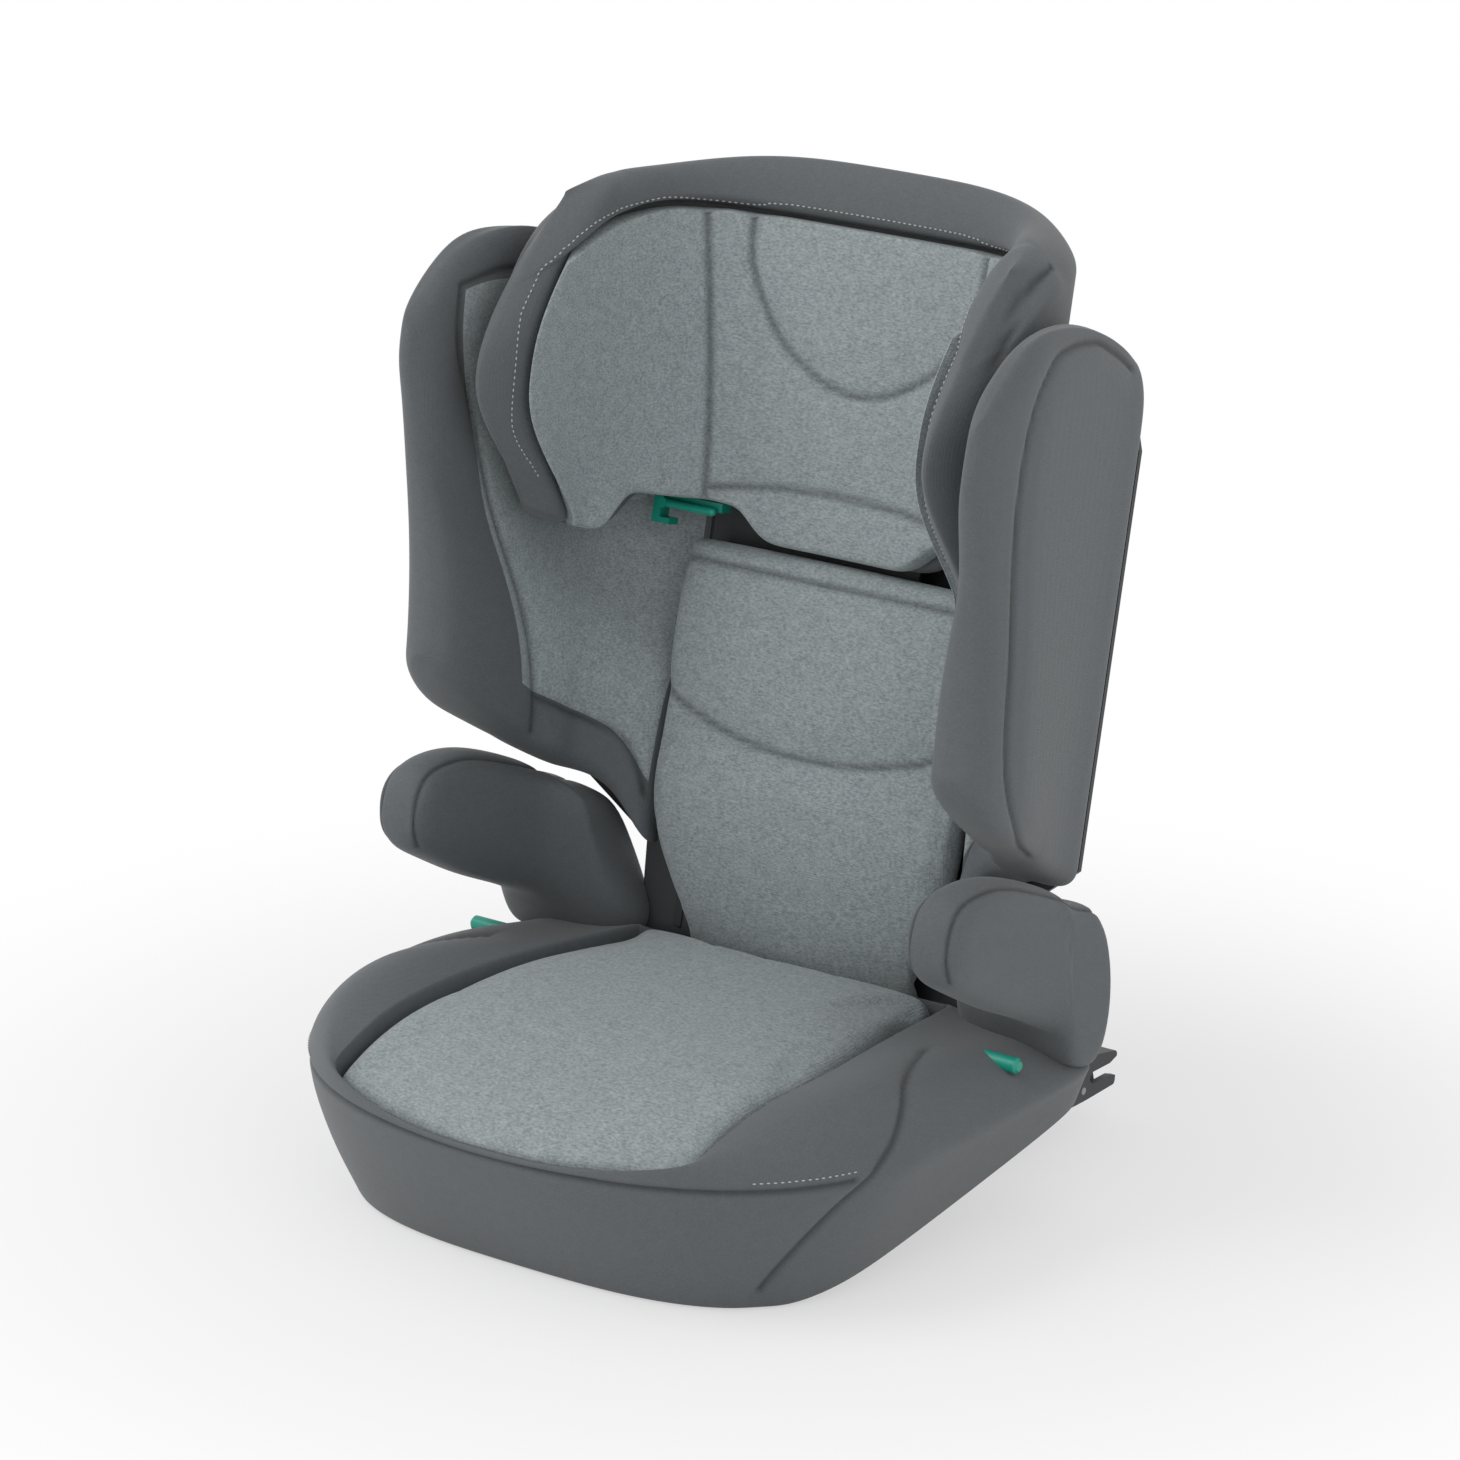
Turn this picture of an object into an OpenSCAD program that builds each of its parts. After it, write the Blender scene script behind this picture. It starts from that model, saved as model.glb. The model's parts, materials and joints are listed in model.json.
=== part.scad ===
// High-back booster seat: base with armrests, winged backrest, sliding headrest, rear anchor connectors.
// Frame: +X to the side, +Y to the rear, +Z up. The origin is on the floor in the middle of the base.

/* [Base] */
// Half width of the base at its widest line
base_half_w = 224; // [210:1:232]
// Half width of the base where it meets the floor
foot_half_w = 181; // [170:1:190]
// Distance from the origin to the front of the widest line
base_front = 272; // [262:1:285]
// Distance from the origin to the front of the floor line
foot_front = 228; // [215:1:238]
// Distance from the origin to the rear of the base
base_rear = 80; // [76:1:84]
// Height of the widest line, where the skirt seam runs
belt_line_z = 92; // [84:1:100]
// Height of the side bolsters
bolster_z = 131; // [126:1:136]
// Height of the seat surface at its front edge
seat_front_z = 90; // [86:1:94]
// Height of the seat surface at its crown
seat_crown_z = 122; // [116:1:126]
// Half width of the seat cushion at the front
seat_half_w = 137; // [128:1:144]
// Half width of the seat cushion at the rear
seat_rear_half_w = 116; // [108:1:120]
// Thickness of the cover padding over the shell
cover_t = 8; // [6:0.5:10]
// Wall of the moulded base shell
shell_t = 3; // [2.5:0.5:4]
// Height of the top of the base shell
shell_top_z = 78; // [72:1:80]
// Height that the cover's lower edge reaches at the rear of the sides
hem_rear_z = 64; // [56:1:70]

/* [Armrests] */
// Height of the armrest's highest point
arm_top_z = 243; // [235:1:245]
// Distance from the origin to the front tip of the armrest
arm_tip = 92; // [84:1:100]
// Width of the armrest
arm_w = 43; // [38:1:46]
// Distance from the origin to the closed rear end of the lap belt slot
slot_end = 38; // [34:1:42]
// Height of the armrest's underside at its tip
arm_under_z = 184; // [180:1:190]

/* [Backrest] */
// Angle by which the backrest leans from upright
back_lean = 13; // [10:0.5:16]
// Height of the wings along the backrest
wing_top = 462; // [440:1:475]
// Depth of the wings in front of the backrest
wing_depth = 187; // [175:1:195]
// Half width of the wings at their front
wing_half_w = 226; // [220:1:232]
// Half width of the backrest at its rear edge
back_half_w = 205; // [200:1:210]
// Half width of the middle back cushion
pad_half_w = 118; // [112:1:122]
// Height along the backrest at which the back cushion ends below the headrest
pad_top = 273; // [262:1:274]
// Wall of the moulded back shell
back_shell_t = 3.5; // [3:0.5:4]
// How far the middle of the back shell bows rearwards
back_bow = 50; // [49:0.5:54]

/* [Headrest] */
// Half width of the headrest
head_half_w = 190; // [182:1:191]
// Depth of the headrest wings in front of the back surface
head_depth = 167; // [160:1:172]
// Height of the top of the headrest along the backrest
head_top = 529; // [515:1:540]
// Height of the lower end of the headrest along the backrest
head_bottom = 276; // [274:1:284]
// Thickness of the headrest's inner pad
head_pad_t = 20; // [16:1:22]
// Travel of the headrest
head_travel = 180; // [140:20:180]
// Pitch of the headrest's height steps
rack_pitch = 20; // [18:1:24]

/* [Anchor connectors] */
// Spacing of the two connectors, centre to centre
anchor_spacing = 280; // [276:1:284]
// Width of one connector housing
connector_w = 26; // [22:1:28]
// Distance from the origin to the connectors' tips
connector_tip = 199; // [190:1:210]
// Diameter of the anchor bar that a connector takes
anchor_bar_d = 6; // [6:0.1:6.5]
// Height of the anchor bar line above the floor
anchor_z = 33; // [31:0.5:35]
// Diameter of the steel tube of the connector frame
frame_tube_d = 16; // [14:1:18]

/* [Hinges and clearances] */
// Diameter of the backrest hinge pins
hinge_pin_d = 10; // [8:1:11]
// Distance from the origin to the backrest hinge line
hinge_y = 92; // [90:1:94]
// Height of the backrest hinge line
hinge_z = 84; // [82:1:86]
// Radial clearance of a pin that turns in its hole
run_gap = 0.08; // [0.05:0.01:0.1]
// Clearance between parts that move past each other
move_gap = 1.5; // [1:0.1:2]

/* [Hidden] */
$fn = 48;
slate = "#62676b";
melange = "#8f9a9c";
plastic = "#3b3d40";
teal = "#1ea08c";
steel = "#a9adb1";
rubber = "#26272a";
eps = 0.01;
touch = 0.3;

// Side faces between rings that all have the same number of points.
function ring_sides(m, n, wrap = false) = [for (i = [0:m - (wrap ? 1 : 2)]) for (k = [0:n - 1])
  let (j = (k + 1) % n, up = (i + 1) % m)
  each [[i * n + k, up * n + j, i * n + j], [i * n + k, up * n + k, up * n + j]]];
// A strip of triangles that closes a band-shaped ring, whose second half runs back beside its first.
function strip_cap(start, n, flip) = [for (k = [0:n / 2 - 2]) let (q = n - 1 - k)
  each (flip ? [[start + q, start + k + 1, start + k], [start + q, start + q - 1, start + k + 1]]
             : [[start + k, start + k + 1, start + q], [start + k + 1, start + q - 1, start + q]])];
// Closed solid through band-shaped rings, closed at both ends by strips.
module band_loft(rings) {
  n = len(rings[0]);
  m = len(rings);
  polyhedron([for (ring = rings) for (p = ring) p],
    concat(ring_sides(m, n), strip_cap(0, n, false), strip_cap((m - 1) * n, n, true)), convexity = 8);
}
// Closed solid through rings that come back to the first one.
module loop_loft(rings) {
  polyhedron([for (ring = rings) for (p = ring) p], ring_sides(len(rings), len(rings[0]), true), convexity = 8);
}
// Signed power, for superellipses.
function spow(c, p) = sign(c) * pow(abs(c), p);
function mix(a, b, t) = a + (b - a) * t;
function ease(t) = let (c = min(1, max(0, t))) c * c * (3 - 2 * c);
// Mirrored copy for the side named by s: +1 or -1.
module side(s) { if (s > 0) children(); else mirror([1, 0, 0]) children(); }
// Places children from the backrest's own upright frame onto the leaning backrest.
back_foot_y = 31;
back_foot_z = 100;
module on_back() { translate([0, back_foot_y, back_foot_z]) rotate([-back_lean, 0, 0]) children(); }
// Extrudes a side profile drawn as [y, z] over a width in x.
module profile_x(width, centre = 0) {
  translate([centre - width / 2, 0, 0]) rotate([90, 0, 90]) linear_extrude(width) children();
}

// ---- Base ----
plan_centre = -100;
// Room behind the seat for the foot of the backrest.
well_half_w = 150;
well_y = 52;
front_steps = 26;
// How far the sides bulge between the front and the rear corners
side_bow = 0.8;
// Plan of the base at one level: a rounded front, straight sides and a notched rear.
function base_half(z) = mix(foot_half_w, base_half_w, pow(min(1, max(0, z / belt_line_z)), 0.8));
function base_plan(half, front, rear, notch, well, power) = concat(
  [for (k = [0:front_steps]) let (a = 180 + 180 * k / front_steps)
    [half * spow(cos(a), 2 / power), plan_centre + (front + plan_centre) * spow(sin(a), 2 / power)]],
  [[half + side_bow, -50], [half + side_bow, 0], [half, rear - 22], [half - 6, rear - 8], [half - 20, rear], [well, rear], [well, notch], [well / 3, notch]],
  [[-well / 3, notch], [-well, notch], [-well, rear], [20 - half, rear], [6 - half, rear - 8], [-half, rear - 22],
    [-half - side_bow, 0], [-half - side_bow, -50]]);
function base_ring(z, inset) = base_plan(base_half(z) - inset,
  mix(foot_front, base_front, pow(min(1, max(0, z / belt_line_z)), 0.9)) - inset, base_rear - inset,
  well_y - inset, well_half_w + inset, mix(3, 2.25, min(1, z / belt_line_z)));
// Height of the cover's lower edge and of its top line along the base.
function hem_z(y) = max(0, mix(0, hem_rear_z, (y + 176) / (base_rear + 176)));
function bolster_line(y) = y < -130 ? mix(belt_line_z, bolster_z, sin(90 * min(1, max(0, (y + base_front) / 142))))
  : y < -60 ? bolster_z : mix(bolster_z, 104, ease((y + 60) / (slot_end + 40)));
function seat_half(y) = y < -90 ? seat_half_w : mix(seat_half_w, seat_rear_half_w, ease((y + 90) / 130));
function seat_edge(p) = [min(seat_half(p[1]), max(-seat_half(p[1]), p[0])), min(well_y - touch, max(-base_front + 8, p[1]))];
function seat_top(y) = mix(seat_front_z, seat_crown_z, sin(90 * min(1, max(0, (y + base_front) / 120))))
  - 6 * ease((y + 60) / 110);
// The cover is one padded skin: up the outside, over the bolsters to the seat, and down inside.
module base_cover() {
  low = base_ring(0, 0);
  mid = base_ring(belt_line_z / 2, 0);
  belt = base_ring(belt_line_z, 0);
  function inward(p, t) = let (e = seat_edge([p[0], p[1] + (p[1] < -200 ? cover_t - 1 : 0)]))
    [mix(p[0], e[0] + 1.2 * sign(e[0]), t), mix(p[1], e[1], t)];
  count = len(low);
  seat_reach = 0.97;
  color(slate) loop_loft([
    [for (p = low) [p[0] * base_half(hem_z(p[1])) / base_half(0), p[1], hem_z(p[1])]],
    [for (k = [0:count - 1]) let (z = max(hem_z(mid[k][1]) + 6, belt_line_z / 2)) [mid[k][0], mid[k][1], z]],
    [for (p = belt) [p[0], p[1], belt_line_z - 6]],
    [for (p = belt) let (q = inward(p, 0.06)) [q[0], q[1], min(belt_line_z, 90)]],
    [for (p = belt) let (q = inward(p, 0.3)) [q[0], q[1], max(seat_front_z, bolster_line(p[1]) - 4)]],
    [for (p = belt) let (q = inward(p, 0.6)) [q[0], q[1], max(seat_front_z + 0.5, bolster_line(p[1]))]],
    [for (p = belt) let (q = inward(p, seat_reach)) [q[0], q[1], max(seat_front_z - 1, seat_top(q[1]) - 1)]],
    [for (p = belt) let (q = inward(p, seat_reach)) [q[0], q[1], shell_top_z]],
    [for (p = base_ring(shell_top_z, cover_t)) [p[0], p[1], shell_top_z - 0.5]],
    [for (k = [0:count - 1]) let (p = base_ring(belt_line_z / 2, cover_t)[k]) [p[0], p[1], max(hem_z(mid[k][1]) + 6, belt_line_z / 2)]],
    [for (k = [0:count - 1]) let (p = base_ring(hem_z(low[k][1]), cover_t)[k]) [p[0], p[1], hem_z(low[k][1])]]
  ]);
}
seat_steps = 8;
module seat_cushion() {
  ys = [0, 12, 30, 55, 90, 140, 190, 240, 290];
  length = base_front - 8 + well_y - touch;
  color(melange) band_loft([for (d = ys) let (
      t = d / 290,
      y0 = -(base_front - 8) + t * length,
      half = seat_half(y0) - touch,
      top = seat_top(y0))
    concat(
      [for (k = [0:seat_steps]) let (x = mix(-half, half, k / seat_steps), u = x / half)
        [x, y0 + 22 * u * u * pow(1 - t, 6), top + 3 * (1 - u * u) - (d == 0 ? 3 : 0)]],
      [for (k = [seat_steps:-1:0]) let (x = mix(-half, half, k / seat_steps), u = x / half)
        [x, y0 + 22 * u * u * pow(1 - t, 6), shell_top_z + touch]])]);
}

// Moulded shell: an open tray turned over, under the cover and seat
module base_shell() {
  low = base_ring(0, cover_t + touch);
  top_in = base_ring(shell_top_z, cover_t + touch + shell_t);
  mid_z = [for (p = low) max(hem_z(p[1]) + 6, belt_line_z / 2)];
  function shell_rim(y) = max(rest_gap, hem_z(y) - 7);
  color(plastic) polyhedron_cup([
    [for (p = top_in) [p[0], p[1], shell_top_z - touch - shell_t]],
    [for (k = [0:len(low) - 1]) let (p = base_ring(belt_line_z / 2, cover_t + touch + shell_t)[k]) [p[0], p[1], mid_z[k]]],
    [for (k = [0:len(low) - 1]) let (z = shell_rim(low[k][1]), p = base_ring(z, cover_t + touch + shell_t)[k]) [p[0], p[1], z]],
    [for (k = [0:len(low) - 1]) let (z = shell_rim(low[k][1]), p = base_ring(z, cover_t + touch)[k]) [p[0], p[1], z]],
    [for (k = [0:len(low) - 1]) let (p = base_ring(belt_line_z / 2, cover_t + touch)[k]) [p[0], p[1], mid_z[k]]],
    [for (p = base_ring(shell_top_z, cover_t + touch)) [p[0], p[1], shell_top_z - touch]]
  ]);
}
// Closed solid through rings, with a flat plate closing each end ring
module polyhedron_cup(rings) {
  n = len(rings[0]);
  m = len(rings);
  polyhedron([for (ring = rings) for (p = ring) p],
    concat(ring_sides(m, n), [[for (k = [0:n - 1]) k]], [[for (k = [n - 1:-1:0]) (m - 1) * n + k]]), convexity = 8);
}

keel_half_w = 96;
keel_front = 190;
rib_t = 2.5;
rib_pitch = 44;
rest_gap = 1.5;
// Skid plate on which the base rests, with the ribs that carry the seat
module keel() {
  rib_h = shell_top_z - shell_t - 2 * touch - rest_gap;
  length = keel_front + well_y - 12;
  color(plastic) difference() {
    union() {
      translate([-keel_half_w, -keel_front, rest_gap]) cube([2 * keel_half_w, length, shell_t]);
      for (x = [-keel_half_w, -rib_t / 2, keel_half_w - rib_t])
        translate([x, -keel_front, rest_gap]) cube([rib_t, length, rib_h]);
      for (y = [-keel_front:rib_pitch:well_y - 12])
        translate([-keel_half_w, y, rest_gap]) cube([2 * keel_half_w, rib_t, rib_h]);
    }
    strip_recesses();
    translate([-handle_half_w - touch, -keel_front - 1, handle_z - touch])
      cube([2 * (handle_half_w + touch), handle_len, handle_h + 2 * touch]);
    // Way for the cross tube of the connector frame
    translate([-keel_half_w - 1, cross_y - frame_travel_in - frame_tube_d / 2 - move_gap, anchor_z - frame_tube_d / 2 - move_gap])
      cube([2 * keel_half_w + 2, frame_travel_in + frame_travel_out + frame_tube_d + 2 * move_gap, frame_tube_d + 2 * move_gap]);
  }
}
strip_half_w = 80;
strip_w = 22;
strip_h = 4;
strip_ys = [-170, 0];
module strip_recesses() {
  for (y = strip_ys) translate([-strip_half_w - touch / 2, y - strip_w / 2 - touch / 2, -1])
    cube([2 * strip_half_w + touch, strip_w + touch, strip_h + 1 - touch]);
}
module rubber_strips() {
  color(rubber) for (y = strip_ys) translate([-strip_half_w, y - strip_w / 2, 0]) difference() {
    cube([2 * strip_half_w, strip_w, strip_h - touch]);
    for (x = [12:12:2 * strip_half_w - 12]) translate([x - 1.5, -1, -1]) cube([3, strip_w + 2, 2]);
  }
}

// ---- Armrests ----
arm_outer = base_half_w + 2;
arm_inner = arm_outer - arm_w;
// Stations along the armrest: [y, underside z, top z, lean-in of the inner foot]
function arm_stations() = [
  [-arm_tip, arm_under_z + 12, arm_top_z - 28, 0],
  [-arm_tip + 5, arm_under_z + 2, arm_top_z - 12, 0],
  [-arm_tip + 16, arm_under_z - 5, arm_top_z - 3, 0],
  [-arm_tip + 36, arm_under_z - 17, arm_top_z, 0],
  [-30, arm_under_z - 32, arm_top_z - 3, 0],
  [0, arm_under_z - 45, arm_top_z - 14, 3],
  [slot_end - 12, arm_under_z - 58, arm_top_z - 26, 12],
  [slot_end - 2, arm_under_z - 68, arm_top_z - 32, 34],
  [slot_end + 3, 96, arm_top_z - 38, 50],
  [well_y + 8, 88, arm_top_z - 45.5, 60],
  [base_rear - 1, 88, arm_top_z - 51, 38]
];
arm_steps = 24;
module arm_side() {
  color(slate) band_loft([for (s = arm_stations()) let (
      tip = s[0] < -arm_tip + 1 ? 0.62 : (s[0] < -arm_tip + 6 ? 0.86 : 1),
      half = arm_w / 2 * tip,
      mid_x = (arm_inner + arm_outer) / 2,
      mid_z = (s[1] + s[2]) / 2,
      half_z = (s[2] - s[1]) / 2)
    [for (k = [0:arm_steps - 1]) let (
        a = 180 - 360 * (k + 0.5) / arm_steps,
        px = spow(cos(a), 0.7),
        pz = spow(sin(a), 0.7),
        foot = px < 0 ? s[3] * -px * (1 - pow((1 + pz) / 2, 8)) : 0)
      [mid_x + px * half - foot, s[0], mid_z + pz * half_z]]]);
}
module arm_right() { side(1) arm_side(); }
module arm_left() { side(-1) arm_side(); }

// Coloured lap belt guide at the closed end of the slot
guide_r = 5;
guide_len = 28;
guide_y = -4;
guide_z = bolster_line(guide_y) + guide_r - 4;
module lap_guide() {
  color(teal) translate([arm_outer - 12, guide_y, guide_z]) rotate([0, -90, 0]) {
    translate([0, 0, 2]) cylinder(r = guide_r, h = guide_len - 4);
    cylinder(r1 = guide_r - 2, r2 = guide_r, h = 2);
    translate([0, 0, guide_len - 2]) cylinder(r1 = guide_r, r2 = guide_r - 2, h = 2);
  }
}
module lap_guide_right() { side(1) lap_guide(); }
module lap_guide_left() { side(-1) lap_guide(); }

// ---- Backrest hinge ----
hinge_x = 110;
bracket_w = 24;
bracket_t = 5;
module hinge_brackets() {
  color(plastic) for (s = [-1, 1], e = [-1, 1]) translate([s * hinge_x + e * (bracket_w - bracket_t) / 2, 0, 0])
    difference() {
      profile_x(bracket_t) hull() {
        translate([hinge_y, hinge_z]) circle(r = hinge_pin_d / 2 + 6);
        translate([well_y - cover_t - shell_t, hinge_z - 22]) square([20, 28]);
      }
      translate([0, hinge_y, hinge_z]) rotate([0, 90, 0]) cylinder(d = hinge_pin_d, h = bracket_w, center = true);
    }
}
module hinge_pins() {
  color(steel) for (s = [-1, 1]) translate([s * hinge_x, hinge_y, hinge_z]) rotate([0, 90, 0])
    cylinder(d = hinge_pin_d, h = bracket_w, center = true);
}

// ---- Backrest, drawn upright: x across, y to the rear from the back surface, z along the backrest ----
function bow(x) = back_bow - (back_bow - 22) * pow(abs(x) / back_half_w, 2);
shell_foot = 4;
shell_head = wing_top - 32;
module bow_strip(half, behind, thick) {
  steps = 24;
  polygon(concat(
    [for (i = [0:steps]) let (x = mix(-half, half, i / steps)) [x, bow(x) - behind]],
    [for (i = [steps:-1:0]) let (x = mix(-half, half, i / steps)) [x, bow(x) - behind - thick]]));
}
// Front view of the shell, narrow at the foot and wide at the wings
module back_front(grow = 0) {
  foot = 132 + grow;
  full = back_half_w - 4 + grow;
  polygon([[-foot, shell_foot - grow], [foot, shell_foot - grow], [foot + 4, 70], [full, 118], [full, shell_head - 50],
    [full - 14, shell_head - 16], [full - 50, shell_head + grow], [-full + 50, shell_head + grow],
    [-full + 14, shell_head - 16], [-full, shell_head - 50], [-full, 118], [-foot - 4, 70]]);
}
module from_front() { rotate([90, 0, 0]) translate([0, 0, -200]) linear_extrude(400) children(); }
rail_x = 34;
rail_t = 4;
slot_half_w = 14;
slot_low = 100;
slot_high = shell_head - 14;
module back_shell() {
  color(plastic) on_back() difference() {
    union() {
      intersection() {
        linear_extrude(wing_top) bow_strip(back_half_w + 10, 0, back_shell_t);
        from_front() back_front();
      }
      // Vertical stiffening ribs on the rear face
      for (x = [-120, -80, 80, 120]) translate([x - rib_t / 2, bow(x) - back_shell_t, 60])
        cube([rib_t, 6, shell_head - 100]);
      for (s = [-1, 1]) hinge_lug(s * hinge_x);
    }
    // Opening for the headrest lever's lock
    translate([-slot_half_w, 0, slot_low + 20]) cube([2 * slot_half_w, 100, slot_high - slot_low - 40]);
    for (s = [-1, 1], z = screw_zs) translate([s * screw_x, bow(screw_x) + 1, z]) rotate([90, 0, 0])
      cylinder(d = screw_d, h = back_shell_t + 2);
    for (s = [-1, 1]) hinge_bore(s * hinge_x);
  }
}
// Hinge line in the backrest's own frame
lug_y = (hinge_y - back_foot_y) * cos(back_lean) - (hinge_z - back_foot_z) * sin(back_lean);
lug_z = (hinge_y - back_foot_y) * sin(back_lean) + (hinge_z - back_foot_z) * cos(back_lean);
lug_w = bracket_w - 2 * bracket_t - 1;
module hinge_lug(x) {
  profile_x(lug_w, x) hull() {
    translate([lug_y, lug_z]) circle(r = hinge_pin_d / 2 + 5);
    translate([bow(x) - back_shell_t, 18]) square([back_shell_t, 26]);
  }
}
module hinge_bore(x) {
  translate([x, lug_y, lug_z]) rotate([0, 90, 0])
    cylinder(r = hinge_pin_d / 2 + run_gap, h = lug_w + 2, center = true);
}

// Middle cushion with a lumbar roll, thin behind the headrest
module back_cushion() {
  color(melange) on_back() difference() {
    intersection() {
      linear_extrude(wing_top) translate([-pad_half_w, 0]) square([2 * pad_half_w, back_bow]);
      profile_x(2 * pad_half_w) polygon([[back_bow, 8], [34, 8], [28, 20], [16, 44], [4, 80], [0, 110],
        [0, 140], [4, 160], [3, 200], [4, pad_top], [back_bow, pad_top]]);
    }
    // Channel for the headrest carriage
    translate([-carriage_half_w - move_gap, head_out_rear - move_gap / 2, 0])
      cube([2 * (carriage_half_w + move_gap), back_bow, wing_top]);
    linear_extrude(wing_top) bow_rear(pad_half_w + 10, back_shell_t + touch);
    for (s = [-1, 1]) lug_room(s * hinge_x);
  }
}
module lug_room(x) {
  translate([x - bracket_w / 2 - touch, bow(x) - back_shell_t - 2, -1]) cube([bracket_w + 2 * touch, 60, 50]);
}
// Everything behind a line set in from the shell's rear face
module bow_rear(half, behind) {
  steps = 24;
  polygon(concat([[half, 90], [-half, 90]],
    [for (i = [0:steps]) let (x = mix(-half, half, i / steps)) [x, bow(x) - behind]]));
}

// Wing section at height w: the outline runs from the cushion's edge round the nose to the rear edge.
function wing_front(w) = -mix(wing_depth - 42, wing_depth, ease((w - 90) / 290));
function wing_low(x, v) = 106 + 0.36 * max(0, -v) + 36 * pow(max(0, -v - 104) / 50, 2) - 40 * ease((146 - x) / 28);
function wing_high(v) = v < -98 ? wing_top - 67 * pow((-v - 98) / 89, 2.5) : wing_top - 34 * pow((v + 98) / 120, 2);
function wing_outline(w) =
  let (
    f = wing_front(w),
    thin = ease((w - 185) / 50),
    seam_v = mix(f + 92, f + 36, ease((w - 130) / 250)),
    line_x = mix(wing_half_w - 52, wing_half_w - 27, ease((w - 100) / 300)),
    seam_x = mix(line_x, max(line_x, head_half_w + 3), thin))
  [
    // From the back cushion's edge along the lining to the nose
    [pad_half_w + touch, mix(4, 36, thin)],
    [mix(pad_half_w + 22, pad_half_w + 34, thin), mix(-2, 26, thin)],
    [mix(pad_half_w + 40, pad_half_w + 60, thin), mix(seam_v * 0.28, 4, thin)],
    [mix(seam_x - 10, seam_x - 1.2, thin), mix(seam_v * 0.62, -46, thin)],
    [mix(seam_x - 3, seam_x - 0.6, thin), mix(seam_v * 0.85, -104, thin)],
    [seam_x, seam_v],
    [seam_x + 3, f + 14],
    [mix(seam_x, wing_half_w, 0.35), f + 3],
    [mix(seam_x, wing_half_w, 0.5), f],
    // Back along the outer side to the rear edge
    [mix(seam_x, wing_half_w, 0.75), f + 2],
    [wing_half_w - 3, f + 12],
    [wing_half_w, f + 34],
    [wing_half_w - 1, f + 60],
    [mix(wing_half_w, back_half_w, 0.55), mix(f, 8, 0.65)],
    [back_half_w + 1, 8],
    [back_half_w - 2, bow(back_half_w - 2) - back_shell_t - touch],
    [165, bow(165) - back_shell_t - touch],
    [pad_half_w + touch, bow(pad_half_w) - back_shell_t - touch]];
// One level of the wing, from its sloping lower edge (t = 0) to its arched top (t = 1).
function wing_ring(t, shrink) =
  let (o = wing_outline(mix(100, 440, t)), n = len(o))
  [for (k = [0:n - 1]) let (
      mid = (o[k] + o[n - 1 - k]) / 2,
      p = [mix(o[k][0], mid[0], shrink), mix(o[k][1], mid[1], shrink * 0.3)])
    [p[0], p[1], mix(wing_low(p[0], p[1]), wing_high(p[1]), t)]];
crown = 0.1;
module wing_half() {
  color(slate) on_back() band_loft(concat(
    [for (a = [75, 40, 0]) wing_ring(0.03 * (1 - sin(a)), 0.8 * (1 - cos(a)))],
    [for (t = [0.1:0.1:0.8]) wing_ring(t, 0)],
    [for (a = [0, 25, 48, 66, 80]) wing_ring(1 - crown + crown * sin(a), 1 - cos(a))]));
}
module wing_right() { side(1) wing_half(); }
module wing_left() { side(-1) wing_half(); }

// Steel rails on which the headrest carriage slides
module guide_rails() {
  color(steel) on_back() for (s = [-1, 1])
    translate([s * rail_x - rail_t / 2, 36, slot_low])
      cube([rail_t, bow(rail_x) - back_shell_t - 36, slot_high - slot_low]);
}
// Toothed strip beside the opening, one notch for each height step
rack_x = 20;
rack_depth = 7;
notch_h = 6;
module height_rack() {
  color(plastic) on_back() for (s = [-1, 1]) difference() {
    translate([s * rack_x - 3, bow(rack_x) - back_shell_t - rack_depth, lock_z - rack_pitch])
      cube([6, rack_depth, head_travel + 2 * rack_pitch]);
    for (z = [lock_z:rack_pitch:lock_z + head_travel])
      translate([s * rack_x - 5, bow(rack_x) - back_shell_t - rack_depth - 1, z - notch_h / 2])
        cube([10, rack_depth - 1, notch_h]);
  }
}
screw_x = 178;
screw_zs = [160, 260, 360];
screw_d = 5;
module shell_screws() {
  color(steel) on_back() for (s = [-1, 1], z = screw_zs) translate([s * screw_x, bow(screw_x), z]) rotate([90, 0, 0]) {
    translate([0, 0, -2.2]) cylinder(d = screw_d + 5, h = 2.2);
    translate([0, 0, -0.1]) cylinder(d = screw_d - 0.2, h = back_shell_t + 0.1);
  }
}

// ---- Headrest, in the same upright frame ----
head_centre = -138;
head_steps = 28;
head_in_half = 145;
head_in_rear = 1;
head_out_rear = 30;
pad_out_half = head_in_half + head_pad_t - 2;
pad_out_rear = head_in_rear + head_pad_t - 4;
slot_gap = 22;
// A flat-backed U, from one wing tip round the back to the other
function head_u(half, rear, front, power, k) =
  let (a = mix(-90, 90, k / head_steps))
  [half * spow(sin(a), 2 / power), front + (rear - front) * spow(cos(a), 2 / power)];
// How far the wings reach forward at height w
function head_reach(p, front) = p[1] > -60 ? p : [p[0], -60 + (p[1] + 60) * (min(-75, front) + 60) / (head_centre + 60)];
function head_front(w) = -head_depth + 46 * pow(max(0, 400 - w) / 100, 3.2) + 21 * pow(max(0, w - 400) / 86, 3);
// Lower edge: wings hang lowest, and the belt slots rise beside the middle panel
function head_low(x, v) = abs(x) < 72 ? head_bottom + 2
  : abs(x) < 152 && v > -50 ? head_bottom + slot_gap
  : head_bottom - 4 + 30 * pow(max(0, -v - 50) / 90, 2);
function head_high(x, v) = head_top - 4 - 28 * pow(abs(x) / head_half_w, 4) - 46 * pow(max(0, -v - 60) / 90, 2);
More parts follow.
